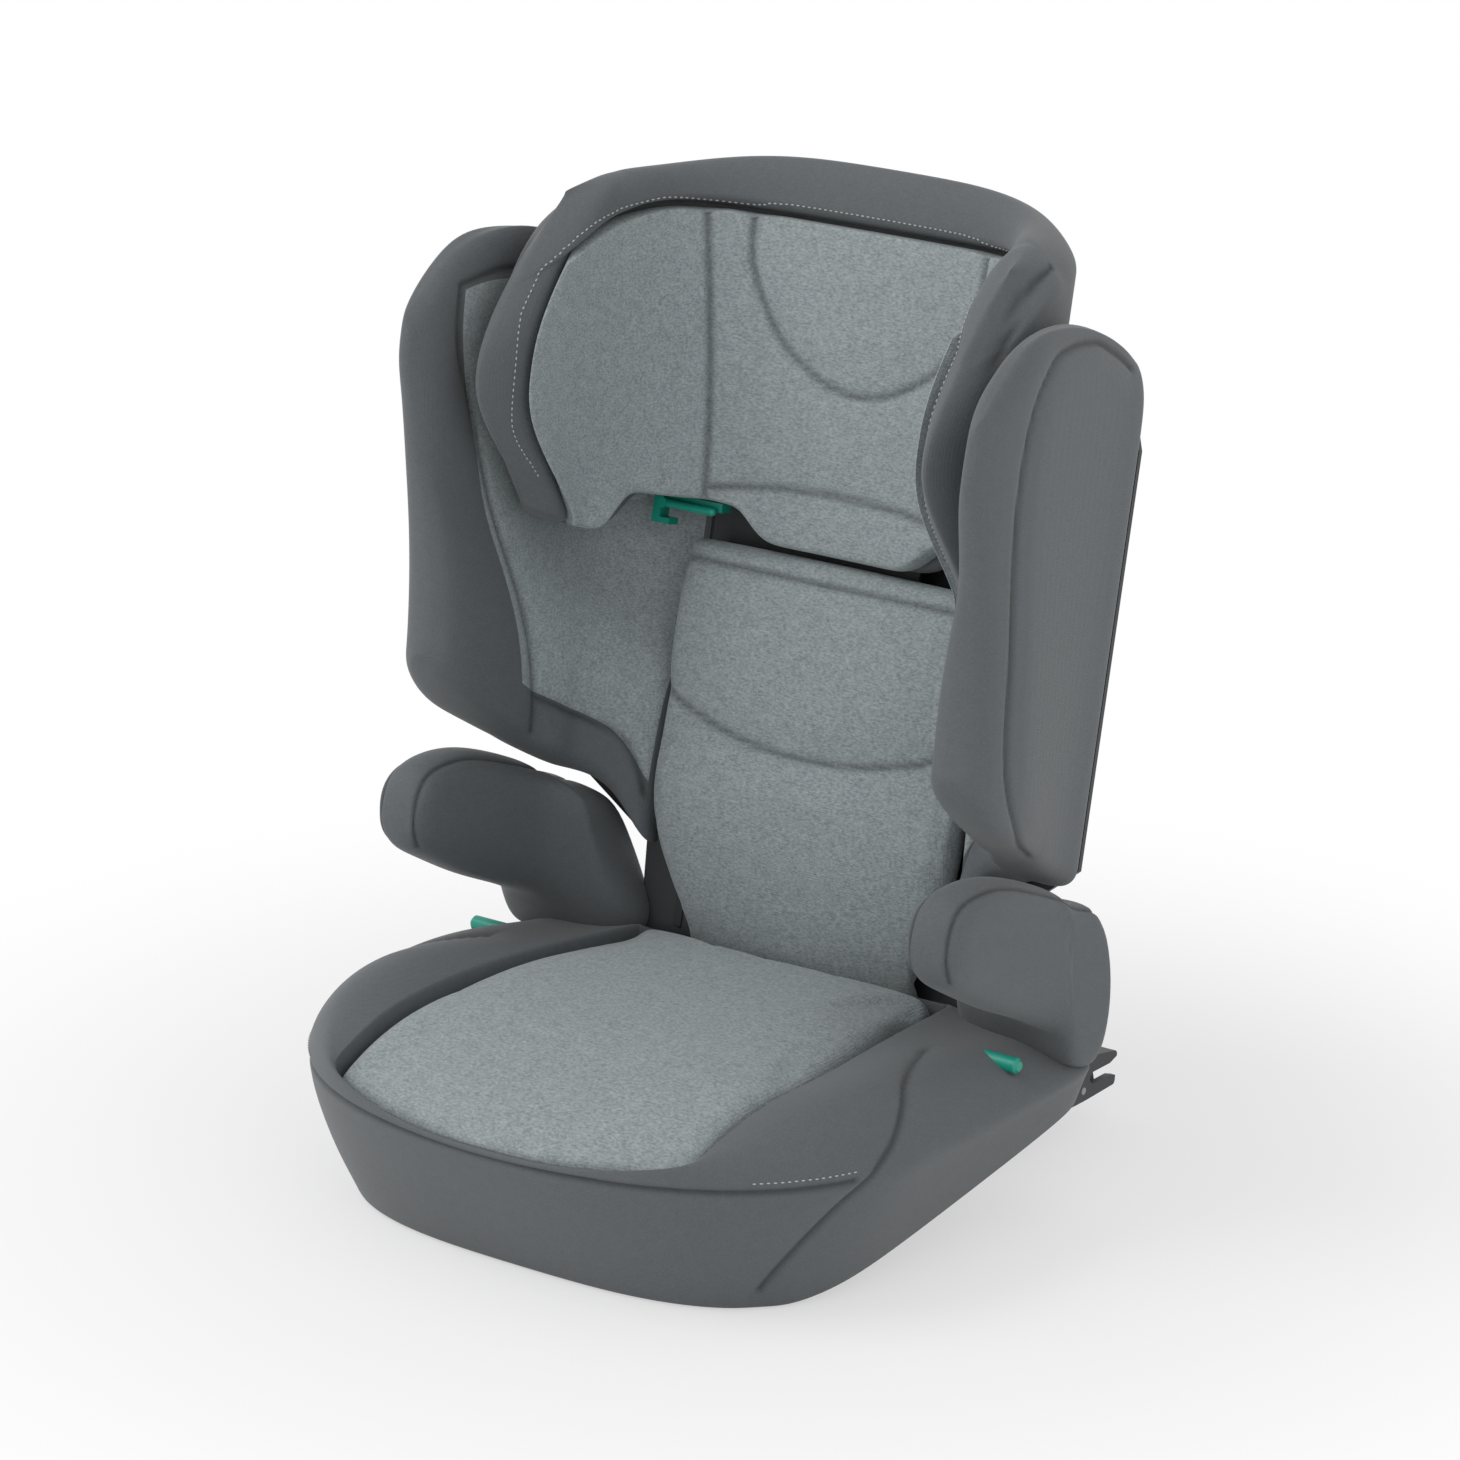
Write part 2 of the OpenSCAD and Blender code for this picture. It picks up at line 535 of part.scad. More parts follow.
// A wall given as [half width, rear, half width at its front ends]
function head_wall(wall, power, front) = [for (k = [0:head_steps])
  let (p = head_reach(head_u(wall[0], wall[1], head_centre, power, k), front))
    k == 0 || k == head_steps ? [sign(p[0]) * wall[2], p[1]] : p];
function head_ring(t, in_wall, out_wall, shrink, nose) =
  let (
    front = head_front(mix(head_bottom, head_top, t)) + 28,
    inner = head_wall(in_wall, 3.2, front),
    outer = head_wall(out_wall, 3, front),
    tip = (in_wall[2] + out_wall[2]) / 2,
    lead = min(-75, front) - nose,
    o = concat([[-tip, lead]], inner, [[tip, lead], [tip + 1, lead]],
      [for (k = [head_steps:-1:0]) outer[k]], [[-tip - 1, lead]]),
    n = len(o))
  [for (k = [0:n - 1]) let (
      mid = (o[k] + o[n - 1 - k]) / 2,
      p = o[k] + (mid - o[k]) * shrink)
    [p[0], p[1], head_level(head_low(mid[0], mid[1]), head_edge(mid[1]), head_high(p[0], p[1]), t)]];
// The pad's upper edge, which falls towards the front of the headrest's wings
pad_share = 0.84;
function head_edge(v) = head_top - 42 - 46 * pow(max(0, -v) / 120, 2);
function head_level(low, edge, high, t) = t < pad_share ? mix(low, min(edge, high - 12), t / pad_share)
  : mix(min(edge, high - 12), high, (t - pad_share) / (1 - pad_share));
head_shell_t = 4;
lining = [head_in_half, head_in_rear, head_in_half];
pad_back = [pad_out_half, pad_out_rear, head_in_half + 2];
pad_seat = [pad_out_half + touch, pad_out_rear + touch, head_in_half + 2 + touch];
head_back = [head_half_w, head_out_rear - head_shell_t - touch, head_half_w];
module head_cushion() {
  color(melange) on_back() band_loft([for (t = [0, 0.12, 0.3, 0.45, 0.6, 0.72, 0.83])
    head_ring(t, lining, pad_back, 0, 2)]);
}
module head_bolster() {
  nose = 28;
  color(slate) on_back() band_loft(concat(
    [for (t = [0, 0.15, 0.35, 0.55, 0.7, 0.84]) head_ring(t, pad_seat, head_back, 0, nose)],
    [for (t = [0.85, 0.9]) head_ring(t, lining, head_back, 0, nose)],
    [for (a = [30, 55, 75]) head_ring(0.9 + 0.1 * sin(a), lining, head_back, 1 - cos(a), nose)]));
}
module head_shell() {
  color(plastic) on_back() difference() {
    union() {
      for (s = [-1, 1]) translate([s * (lever_half_w + move_gap + 5) - 5, head_out_rear - head_shell_t, lever_pin_z - 6])
        cube([10, head_shell_t + 6, 12]);
      intersection() {
        linear_extrude(head_top - 20) head_shell_plan();
      profile_x(2 * head_half_w) polygon([[-40, head_bottom + 30], [60, head_bottom + 12], [60, head_top - 24],
        [-40, head_top - 60]]);
      }
    }
    translate([-lever_half_w - move_gap, 0, lever_low - 2])
      cube([2 * (lever_half_w + move_gap), 60, lever_high - lever_low + 4]);
    translate([0, lever_pin_v, lever_pin_z]) rotate([0, 90, 0])
      cylinder(d = lever_pin_d, h = 2 * (lever_half_w + lug_reach + 4), center = true);
  }
}
module head_shell_plan() {
  intersection() {
    polygon(concat([for (k = [0:head_steps]) head_u(head_half_w + head_shell_t, head_out_rear, head_centre, 3, k)],
      [for (k = [head_steps:-1:0]) head_u(head_half_w, head_out_rear - head_shell_t, head_centre, 3, k)]));
    translate([-150, -60]) square([300, 120]);
  }
}
lever_half_w = 34;
lever_low = 452;
lever_high = 500;
lever_pin_d = 4;
lug_reach = 7;
carriage_half_w = 48;
carriage_t = 3;
carriage_low = 120;
carriage_high = 400;
shoe_len = 20;
module head_carriage() {
  color(plastic) on_back() difference() {
    union() {
      // Long plate on the headrest shell, with shoes that run on both sides of each rail
      translate([-carriage_half_w, head_out_rear, carriage_low])
        cube([2 * carriage_half_w, carriage_t, carriage_high - carriage_low]);
      for (s = [-1, 1], e = [-1, 1], z = [carriage_low + 4, carriage_high - shoe_len - 4])
        translate([s * rail_x + e * (rail_t / 2 + 3 + touch) - 3, head_out_rear + carriage_t, z]) cube([6, 7, shoe_len]);
    }
    translate([-rack_x - 7, 0, lock_z - 12]) cube([2 * rack_x + 14, 60, 24]);
    // Lightening windows
    for (z = [lock_z + 28, lock_z + 70]) translate([-20, 0, z]) cube([40, 60, 30]);
  }
}
// Round bar that drops into the rack's notches, drawn just short of the teeth
bar_d = 3.6;
lock_z = slot_low + 14 + rack_pitch * 2;
lock_v = bow(rack_x) - back_shell_t - rack_depth - touch - bar_d / 2;
module lock_bar() {
  color(steel) on_back() translate([-rack_x - 5, lock_v, lock_z]) rotate([0, 90, 0]) cylinder(d = bar_d, h = 2 * rack_x + 10);
}
// Finger lever in the back of the headrest, hung on two stub pins
lever_t = 6;
lever_v = head_out_rear - head_shell_t + touch;
lever_pin_z = lever_high - 6;
lever_pin_v = lever_v + lever_t / 2;
module head_lever() {
  color(plastic) on_back() difference() {
    union() {
      translate([-lever_half_w, lever_v, lever_low]) cube([2 * lever_half_w, lever_t, lever_high - lever_low - 6]);
      translate([-lever_half_w, lever_pin_v, lever_pin_z]) rotate([0, 90, 0]) cylinder(d = lever_t, h = 2 * lever_half_w);
      translate([-lever_half_w - lug_reach, lever_pin_v, lever_pin_z]) rotate([0, 90, 0])
        cylinder(d = lever_pin_d - 2 * run_gap, h = 2 * (lever_half_w + lug_reach));
    }
    translate([-lever_half_w + 8, lever_v + 2.5, lever_low + 6]) cube([2 * lever_half_w - 16, lever_t, 24]);
  }
}

// Shoulder belt hooks and their sprung gates, under the headrest wings
hook_x = 118;
hook_top = head_bottom + slot_gap - touch;
hook_half_w = 27;
hook_v = 4;
module belt_hook_side() {
  color(teal) on_back() translate([hook_x, hook_v, hook_top]) {
    translate([-hook_half_w, 0, -6]) cube([2 * hook_half_w, 10, 6]);
    translate([hook_half_w - 6, 0, -20]) cube([6, 10, 15]);
    translate([hook_half_w - 14, 0, -20]) cube([10, 10, 4]);
  }
}
module belt_hook_right() { side(1) belt_hook_side(); }
module belt_hook_left() { side(-1) belt_hook_side(); }
gate_r = 2.8;
gate_len = 38;
gate_x = hook_x + 16;
gate_v = hook_v - touch - gate_r;
gate_z = hook_top - 6;
module belt_gate_side() {
  color(teal) on_back() translate([gate_x - gate_len, gate_v, gate_z]) {
    rotate([0, 90, 0]) cylinder(r = gate_r, h = gate_len);
    sphere(r = gate_r);
    // Pivot boss
    translate([gate_len, -gate_r - 0.6, 0]) rotate([-90, 0, 0]) cylinder(r = gate_r + 0.8, h = 2 * gate_r + 0.4);
  }
}
module belt_gate_right() { side(1) belt_gate_side(); }
module belt_gate_left() { side(-1) belt_gate_side(); }

// ---- Anchor connectors ----
cheek_t = 4;
arm_x = anchor_spacing / 2;
connector_len = 118;
fork_depth = 27;
notch_d = anchor_bar_d + 2;
module connector_side_profile() {
  difference() {
    union() {
      hull() {
        translate([connector_tip - connector_len, anchor_z - 12]) square([10, 26]);
        translate([connector_tip - 44, anchor_z - 13]) square([8, 30]);
      }
      hull() {
        translate([connector_tip - 44, anchor_z - 13]) square([8, 30]);
        translate([connector_tip - 3, anchor_z + 8]) circle(r = 3);
        translate([connector_tip - 5, anchor_z - 9]) circle(r = 3);
      }
    }
    // Mouth for the anchor bar, flared at its entrance
    hull() {
      translate([connector_tip - fork_depth, anchor_z]) circle(d = notch_d);
      translate([connector_tip - 6, anchor_z - notch_d / 2]) square([2, notch_d]);
    }
    polygon([[connector_tip - 8, anchor_z - notch_d / 2], [connector_tip + 1, anchor_z - notch_d / 2 - 3],
      [connector_tip + 1, anchor_z + notch_d / 2 + 3], [connector_tip - 8, anchor_z + notch_d / 2]]);
  }
}
jaw_pin_y = connector_tip - 38;
jaw_pin_z = anchor_z - 6;
jaw_pin_d = 5;
module connector(s) {
  color(plastic) difference() {
    profile_x(connector_w, s * arm_x) connector_side_profile();
    // Room for the jaw between the cheeks
    profile_x(connector_w - 2 * cheek_t, s * arm_x)
      polygon([[connector_tip - 56, anchor_z - 20], [connector_tip + 1, anchor_z - 20], [connector_tip + 1, anchor_z + 5],
        [connector_tip - 18, anchor_z + 9], [connector_tip - 56, anchor_z + 9]]);
    // Button well in the top
    translate([s * arm_x - button_w / 2 - touch, button_y - button_travel - touch, anchor_z + 9 - eps])
      cube([button_w + 2 * touch, button_len + button_travel + 2 * touch, 20]);
    translate([s * arm_x, 0, 0]) translate([0, connector_tip - connector_len - 1, anchor_z]) rotate([-90, 0, 0])
      cylinder(d = frame_tube_d, h = 31);
    translate([s * arm_x, jaw_pin_y, jaw_pin_z]) rotate([0, 90, 0])
      cylinder(d = jaw_pin_d, h = connector_w + 2, center = true);
  }
}
module connector_right() { connector(1); }
module connector_left() { connector(-1); }
jaw_t = connector_w - 2 * cheek_t - 2 * touch - 6;
module jaw(s) {
  color(steel) difference() {
    union() {
      profile_x(jaw_t, s * arm_x) union() {
        hull() {
          translate([jaw_pin_y, jaw_pin_z]) circle(r = 5.5);
          translate([jaw_pin_y + 12, anchor_z - 8]) circle(r = 3);
        }
        hull() {
          translate([jaw_pin_y + 12, anchor_z - 8]) circle(r = 3);
          translate([connector_tip - fork_depth + notch_d / 2 + 4.5, anchor_z - 6.5]) circle(r = 3);
        }
        hull() {
          translate([connector_tip - fork_depth + notch_d / 2 + 4.5, anchor_z - 6.5]) circle(r = 3);
          translate([connector_tip - fork_depth + notch_d / 2 + 3.5, anchor_z + 2]) circle(r = 2);
        }
      }
      translate([s * arm_x, jaw_pin_y, jaw_pin_z]) rotate([0, 90, 0])
        cylinder(r = jaw_pin_d / 2 - run_gap, h = connector_w, center = true);
    }
  }
}
module jaw_right() { jaw(1); }
module jaw_left() { jaw(-1); }
button_w = 14;
button_len = 24;
button_travel = 7;
button_y = connector_tip - 92;
module release_button(s) {
  color(teal) translate([s * arm_x - button_w / 2, button_y, anchor_z + 9 + touch]) difference() {
    cube([button_w, button_len, 9]);
    for (y = [4:4:button_len - 4]) translate([-1, y - 0.6, 8]) cube([button_w + 2, 1.2, 2]);
  }
}
module release_button_right() { release_button(1); }
module release_button_left() { release_button(-1); }

cross_y = -60;
frame_travel_in = 50;
frame_travel_out = 30;
// Steel frame: two arms joined by a cross tube, sliding in channels under the base
module connector_frame() {
  color(steel) difference() {
    union() {
      for (s = [-1, 1]) translate([s * arm_x, cross_y, anchor_z]) rotate([-90, 0, 0])
        cylinder(d = frame_tube_d, h = connector_tip - connector_len + 30 - cross_y);
      translate([-arm_x, cross_y, anchor_z]) rotate([0, 90, 0]) cylinder(d = frame_tube_d, h = 2 * arm_x);
      for (s = [-1, 1]) translate([s * arm_x, cross_y, anchor_z]) sphere(d = frame_tube_d);
    }
  }
}
channel_t = 2;
channel_front = cross_y - frame_travel_in - frame_tube_d;
channel_rear = 30;
module rail_channels() {
  inside = frame_tube_d / 2 + touch;
  color(steel) for (s = [-1, 1]) translate([s * arm_x, 0, anchor_z]) {
    difference() {
      translate([-inside - channel_t, channel_front, -2])
        cube([2 * (inside + channel_t), channel_rear - channel_front, inside + channel_t + 2]);
      translate([0, channel_front - 1, 0]) rotate([-90, 0, 0]) cylinder(r = inside, h = channel_rear - channel_front + 2);
      translate([-inside, channel_front - 1, -3]) cube([2 * inside, channel_rear - channel_front + 2, 3]);
      // Way for the cross tube
      translate([s > 0 ? -30 : 0, channel_front - 1, -3])
        cube([30, frame_travel_in + frame_travel_out + 2 * frame_tube_d + 1, inside + 3]);
    }
    // Web that hangs the channel from the shell
    translate([-channel_t / 2, channel_front, inside + channel_t - eps])
      cube([channel_t, channel_rear - channel_front, shell_top_z - touch - shell_t - anchor_z - inside - channel_t]);
  }
}
// Pull handle that frees the connector frame, under the front of the keel
handle_half_w = 30;
handle_z = 8;
handle_h = 8;
handle_len = 44;
module frame_release() {
  color(plastic) translate([-handle_half_w, -keel_front - 14, handle_z]) difference() {
    cube([2 * handle_half_w, handle_len, handle_h]);
    translate([8, 5, -1]) cube([2 * handle_half_w - 16, 7, handle_h + 2]);
  }
}

base_shell();
keel();
base_cover();
seat_cushion();
arm_left();
arm_right();
lap_guide_left();
lap_guide_right();
rubber_strips();
rail_channels();
hinge_brackets();
hinge_pins();
back_shell();
back_cushion();
wing_left();
wing_right();
guide_rails();
height_rack();
shell_screws();
head_shell();
head_bolster();
head_cushion();
head_carriage();
head_lever();
lock_bar();
belt_gate_left();
belt_gate_right();
belt_hook_left();
belt_hook_right();
connector_frame();
connector_left();
connector_right();
jaw_left();
jaw_right();
release_button_left();
release_button_right();
frame_release();
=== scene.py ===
import json
import math

import bpy
import bmesh
import numpy as np
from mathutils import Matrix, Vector
from mathutils.bvhtree import BVHTree
from mathutils.kdtree import KDTree


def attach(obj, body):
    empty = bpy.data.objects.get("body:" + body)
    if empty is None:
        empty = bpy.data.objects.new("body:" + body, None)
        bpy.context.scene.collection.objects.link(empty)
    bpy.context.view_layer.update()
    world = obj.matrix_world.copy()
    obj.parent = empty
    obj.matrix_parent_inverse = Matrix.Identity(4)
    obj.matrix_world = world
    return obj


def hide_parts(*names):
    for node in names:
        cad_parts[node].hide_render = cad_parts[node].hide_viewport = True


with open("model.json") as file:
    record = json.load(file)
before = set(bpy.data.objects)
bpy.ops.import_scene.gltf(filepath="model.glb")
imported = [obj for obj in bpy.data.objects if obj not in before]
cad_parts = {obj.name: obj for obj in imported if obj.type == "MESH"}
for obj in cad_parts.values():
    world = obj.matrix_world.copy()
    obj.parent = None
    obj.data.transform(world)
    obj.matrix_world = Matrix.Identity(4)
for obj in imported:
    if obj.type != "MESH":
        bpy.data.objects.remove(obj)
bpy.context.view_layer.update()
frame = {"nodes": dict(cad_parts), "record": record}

MM = 0.001
LEAN = math.radians(13)
SIN, COS = math.sin(LEAN), math.cos(LEAN)
SIDES = (("left", -1), ("right", 1))


# ---- Small helpers -------------------------------------------------------
def mix(a, b, t):
    return a + (b - a) * t


def ease(t):
    t = min(1.0, max(0.0, t))
    return t * t * (3 - 2 * t)


def spow(value, power):
    return math.copysign(abs(value) ** power, value)


def on_back(p):
    """Backrest frame (across, behind the surface, along the backrest) to millimetres in the row frame."""
    x, v, w = p
    return (x, 31 + v * COS + w * SIN, 100 + w * COS - v * SIN)


def flip_x(points, s):
    return [(s * p[0], p[1], p[2]) for p in points]


def fluent(points, step=1.5):
    """Smooth line through a few points, in millimetres, with a point every step or so."""
    pts = [np.array(p, float) for p in points]
    pts = [2 * pts[0] - pts[1]] + pts + [2 * pts[-1] - pts[-2]]
    line = []
    for a, b, c, d in zip(pts, pts[1:], pts[2:], pts[3:]):
        n = max(2, int(np.linalg.norm(c - b) / step))
        for i in range(n):
            t = i / n
            line.append(0.5 * (2 * b + (c - a) * t + (2 * a - 5 * b + 4 * c - d) * t * t
                               + (3 * b - a - 3 * c + d) * t ** 3))
    line.append(pts[-2])
    return line


def bake(ob):
    """Applies an object's modifiers to its own mesh."""
    graph = bpy.context.evaluated_depsgraph_get()
    mesh = bpy.data.meshes.new_from_object(
        ob.evaluated_get(graph), preserve_all_data_layers=True, depsgraph=graph)
    ob.modifiers.clear()
    ob.data = mesh
    return ob


def fabric_piece(name, rows, finishes, pick=None, levels=2, wrap=False):
    """Soft closed piece lofted through rows of points, each row a band that runs out and back."""
    n, m = len(rows[0]), len(rows)
    verts = [Vector(p) * MM for row in rows for p in row]
    faces, tags = [], []
    for i in range(m if wrap else m - 1):
        for k in range(n):
            j, up = (k + 1) % n, (i + 1) % m
            faces.append((i * n + k, i * n + j, up * n + j, up * n + k))
            tags.append((i, k))
    if not wrap:
        for start, i in ((0, 0), ((m - 1) * n, m - 1)):
            for k in range(n // 2 - 1):
                faces.append((start + k, start + k + 1, start + n - 2 - k, start + n - 1 - k))
                tags.append((i, k))
    mesh = bpy.data.meshes.new(name)
    mesh.from_pydata(verts, [], faces)
    for finish in finishes:
        mesh.materials.append(finish)
    if pick:
        for poly, tag in zip(mesh.polygons, tags):
            poly.material_index = pick(*tag)
    shell = bmesh.new()
    shell.from_mesh(mesh)
    bmesh.ops.recalc_face_normals(shell, faces=shell.faces)
    shell.to_mesh(mesh)
    shell.free()
    ob = bpy.data.objects.new(name, mesh)
    bpy.context.collection.objects.link(ob)
    if levels:
        smooth = ob.modifiers.new("smooth", "SUBSURF")
        smooth.levels = smooth.render_levels = levels
        bake(ob)
    ob.data.shade_smooth()
    return ob


def arrays(ob):
    n = len(ob.data.vertices)
    co, no = np.empty(n * 3), np.empty(n * 3)
    ob.data.vertices.foreach_get("co", co)
    ob.data.vertices.foreach_get("normal", no)
    return co.reshape(-1, 3), no.reshape(-1, 3)


def lay_on(ob, line, lift=0.0):
    """A line in millimetres moved onto the nearest points of a piece, in metres."""
    tree = BVHTree.FromPolygons([v.co for v in ob.data.vertices], [p.vertices for p in ob.data.polygons])
    out = []
    for p in line:
        place, normal, _, _ = tree.find_nearest(Vector(p) * MM)
        out.append(place + normal * lift * MM)
    return out


def sew(ob, seams, depth=2.0, width=2.4, pillow=1.6, spread=13.0):
    """Pulls the fabric in along seams and keeps how near each point is to one, for the painted shade that the
    material puts into the seam creases.
    """
    if not seams:
        return
    points = [p for seam in seams for p in lay_on(ob, fluent(seam))]
    tree = KDTree(len(points))
    for i, p in enumerate(points):
        tree.insert(p, i)
    tree.balance()
    co, no = arrays(ob)
    near = np.array([tree.find(Vector(p))[2] for p in co]) / MM
    line = np.exp(-(near / width) ** 2)
    co -= no * ((depth * line + pillow * np.exp(-(near / spread) ** 2)) * MM)[:, None]
    ob.data.vertices.foreach_set("co", co.ravel())
    mark = ob.data.attributes.new("seam", "FLOAT", "POINT")
    mark.data.foreach_set("value", line.astype(np.float32))
    ob.data.update()


def relax(ob, cap=5.0, pressure=3.0, pinned=None):
    """Fills a padded piece with air as cloth, and keeps each point within cap millimetres of its place."""
    before, _ = arrays(ob)
    if pinned is not None:
        hold = ob.vertex_groups.new(name="hold")
        hold.add([int(i) for i in np.nonzero(pinned(before / MM))[0]], 1.0, "REPLACE")
    cloth = ob.modifiers.new("cloth", "CLOTH")
    cfg = cloth.settings
    cfg.quality = 4
    cfg.use_pressure = True
    cfg.uniform_pressure_force = pressure
    cfg.tension_stiffness = cfg.compression_stiffness = 25
    cfg.bending_stiffness = 2.0
    cfg.effector_weights.gravity = 0
    if pinned is not None:
        cfg.vertex_group_mass = "hold"
    cloth.collision_settings.use_collision = False
    cloth.point_cache.frame_start, cloth.point_cache.frame_end = 1, 20
    for f in range(1, 21):
        bpy.context.scene.frame_set(f)
    bake(ob)
    bpy.context.scene.frame_set(1)
    ob.vertex_groups.clear()
    after, _ = arrays(ob)
    move = after - before
    far = np.linalg.norm(move, axis=1, keepdims=True)
    keep = cap * MM * np.tanh(far / (cap * MM)) / np.maximum(far, 1e-9)
    ob.data.vertices.foreach_set("co", (before + move * keep).ravel())
    ob.data.update()
    ob.data.shade_smooth()


# ---- Finishes -------------------------------------------------------------
class Tree:
    """Short way of adding and joining nodes in one node tree."""

    def __init__(self, tree):
        self.tree = tree

    def add(self, kind, at=(), **settings):
        node = self.tree.nodes.new(kind)
        for key, value in settings.items():
            setattr(node, key, value)
        for socket, value in at:
            if isinstance(value, bpy.types.NodeSocket):
                self.tree.links.new(value, node.inputs[socket])
            else:
                node.inputs[socket].default_value = value
        return node

    def math(self, op, a, b=0.0, clamp=False):
        return self.add("ShaderNodeMath", ((0, a), (1, b)), operation=op, use_clamp=clamp).outputs[0]


def effect_group(name, inputs, outputs):
    group = bpy.data.node_groups.new(name, "ShaderNodeTree")
    for label, kind, value in inputs:
        socket = group.interface.new_socket(name=label, in_out="INPUT", socket_type=kind)
        if value is not None:
            socket.default_value = value
    for label, kind in outputs:
        group.interface.new_socket(name=label, in_out="OUTPUT", socket_type=kind)
    tree = Tree(group)
    return group, tree, tree.add("NodeGroupInput").outputs, tree.add("NodeGroupOutput").inputs


FLOAT, COLOUR, VECTOR = "NodeSocketFloat", "NodeSocketColor", "NodeSocketVector"


YARN_DIRECTION = (0.62, 1.0, 1.25)


def heather_group():
    """Melange yarn: fine light and dark flecks drawn out a little along the yarn, in soft patches."""
    group, t, given, out = effect_group("heather yarn", (
        ("Place", VECTOR, None), ("Fleck size", FLOAT, 1.5), ("Dark", COLOUR, (0.2, 0.2, 0.2, 1)),
        ("Light", COLOUR, (0.5, 0.5, 0.5, 1)), ("Contrast", FLOAT, 1.0)),
        (("Color", COLOUR), ("Height", FLOAT)))
    scale = t.math("DIVIDE", 1000.0, given["Fleck size"])
    stretch = t.add("ShaderNodeVectorMath", ((0, given["Place"]), (1, YARN_DIRECTION)), operation="MULTIPLY")
    fleck = t.add("ShaderNodeTexNoise", (("Vector", stretch.outputs[0]), ("Scale", scale), ("Detail", 2.5),
                                          ("Roughness", 0.65)))
    patch = t.add("ShaderNodeTexNoise", (("Vector", given["Place"]), ("Scale", 140.0), ("Detail", 3.0)))
    value = t.math("ADD", t.math("MULTIPLY", t.math("SUBTRACT", fleck.outputs[0], 0.5), 1.9),
                   t.math("MULTIPLY", t.math("SUBTRACT", patch.outputs[0], 0.5), 0.5))
    spread = t.math("ADD", t.math("MULTIPLY", value, given["Contrast"]), 0.5, clamp=True)
    blend = t.add("ShaderNodeMix", ((0, spread), (6, given["Dark"]), (7, given["Light"])), data_type="RGBA")
    t.tree.links.new(blend.outputs[2], out["Color"])
    t.tree.links.new(fleck.outputs[0], out["Height"])
    return group


def knit_group():
    """Fine flat knit: crossed ribs about a millimetre apart, with loose fibre over them."""
    group, t, given, out = effect_group("fine knit", (
        ("Place", VECTOR, None), ("Rib pitch", FLOAT, 1.4), ("Fuzz", FLOAT, 0.4)),
        (("Height", FLOAT), ("Mask", FLOAT)))
    scale = t.math("DIVIDE", 320.0, given["Rib pitch"])
    waves = []
    for axis in ("X", "Z"):
        wave = t.add("ShaderNodeTexWave", (("Vector", given["Place"]), ("Scale", scale), ("Distortion", 0.6),
                                            ("Detail", 1.0)), bands_direction=axis)
        waves.append(wave.outputs["Fac"])
    fuzz = t.add("ShaderNodeTexNoise", (("Vector", given["Place"]), ("Scale", 850.0), ("Detail", 2.0)))
    ribs = t.math("MULTIPLY", t.math("ADD", waves[0], waves[1]), 0.5)
    height = t.math("ADD", ribs, t.math("MULTIPLY", fuzz.outputs[0], given["Fuzz"]))
    t.tree.links.new(height, out["Height"])
    t.tree.links.new(fuzz.outputs[0], out["Mask"])
    return group


def grain_group():
    """Moulded plastic: fine spark-eroded grain and faint handling marks."""
    group, t, given, out = effect_group("moulded grain", (
        ("Place", VECTOR, None), ("Grain", FLOAT, 900.0), ("Base", COLOUR, (0.05, 0.05, 0.05, 1)),
        ("Rough", FLOAT, 0.45)), (("Color", COLOUR), ("Roughness", FLOAT), ("Height", FLOAT)))
    grain = t.add("ShaderNodeTexNoise", (("Vector", given["Place"]), ("Scale", given["Grain"]),
                                         ("Detail", 2.0)))
    cloud = t.add("ShaderNodeTexNoise", (("Vector", given["Place"]), ("Scale", 18.0), ("Detail", 5.0)))
    shade = t.math("ADD", t.math("MULTIPLY", cloud.outputs[0], 0.3), 0.85)
    tone = t.add("ShaderNodeVectorMath", ((0, given["Base"]), (1, shade)), operation="MULTIPLY")
    t.tree.links.new(tone.outputs[0], out["Color"])
    wear = t.math("MULTIPLY", t.math("SUBTRACT", cloud.outputs[0], 0.5), 0.25)
    rough = t.math("ADD", given["Rough"], wear, True)
    t.tree.links.new(rough, out["Roughness"])
    t.tree.links.new(grain.outputs[0], out["Height"])
    return group


HEATHER, KNIT, GRAIN = heather_group(), knit_group(), grain_group()
KNIT_RELIEF, GRAIN_RELIEF = 0.0004, 0.0003


def srgb(r, g, b):
    def lin(c):
        c /= 255
        return c / 12.92 if c <= 0.04045 else ((c + 0.055) / 1.055) ** 2.4
    return (lin(r), lin(g), lin(b), 1)


def blank_material(name):
    mat = bpy.data.materials.new(name)
    mat.use_nodes = True
    mat.node_tree.nodes.clear()
    t = Tree(mat.node_tree)
    shader = t.add("ShaderNodeBsdfPrincipled")
    out = t.add("ShaderNodeOutputMaterial")
    mat.node_tree.links.new(shader.outputs[0], out.inputs[0])
    place = t.add("ShaderNodeTexCoord").outputs["Object"]
    return mat, t, shader, place


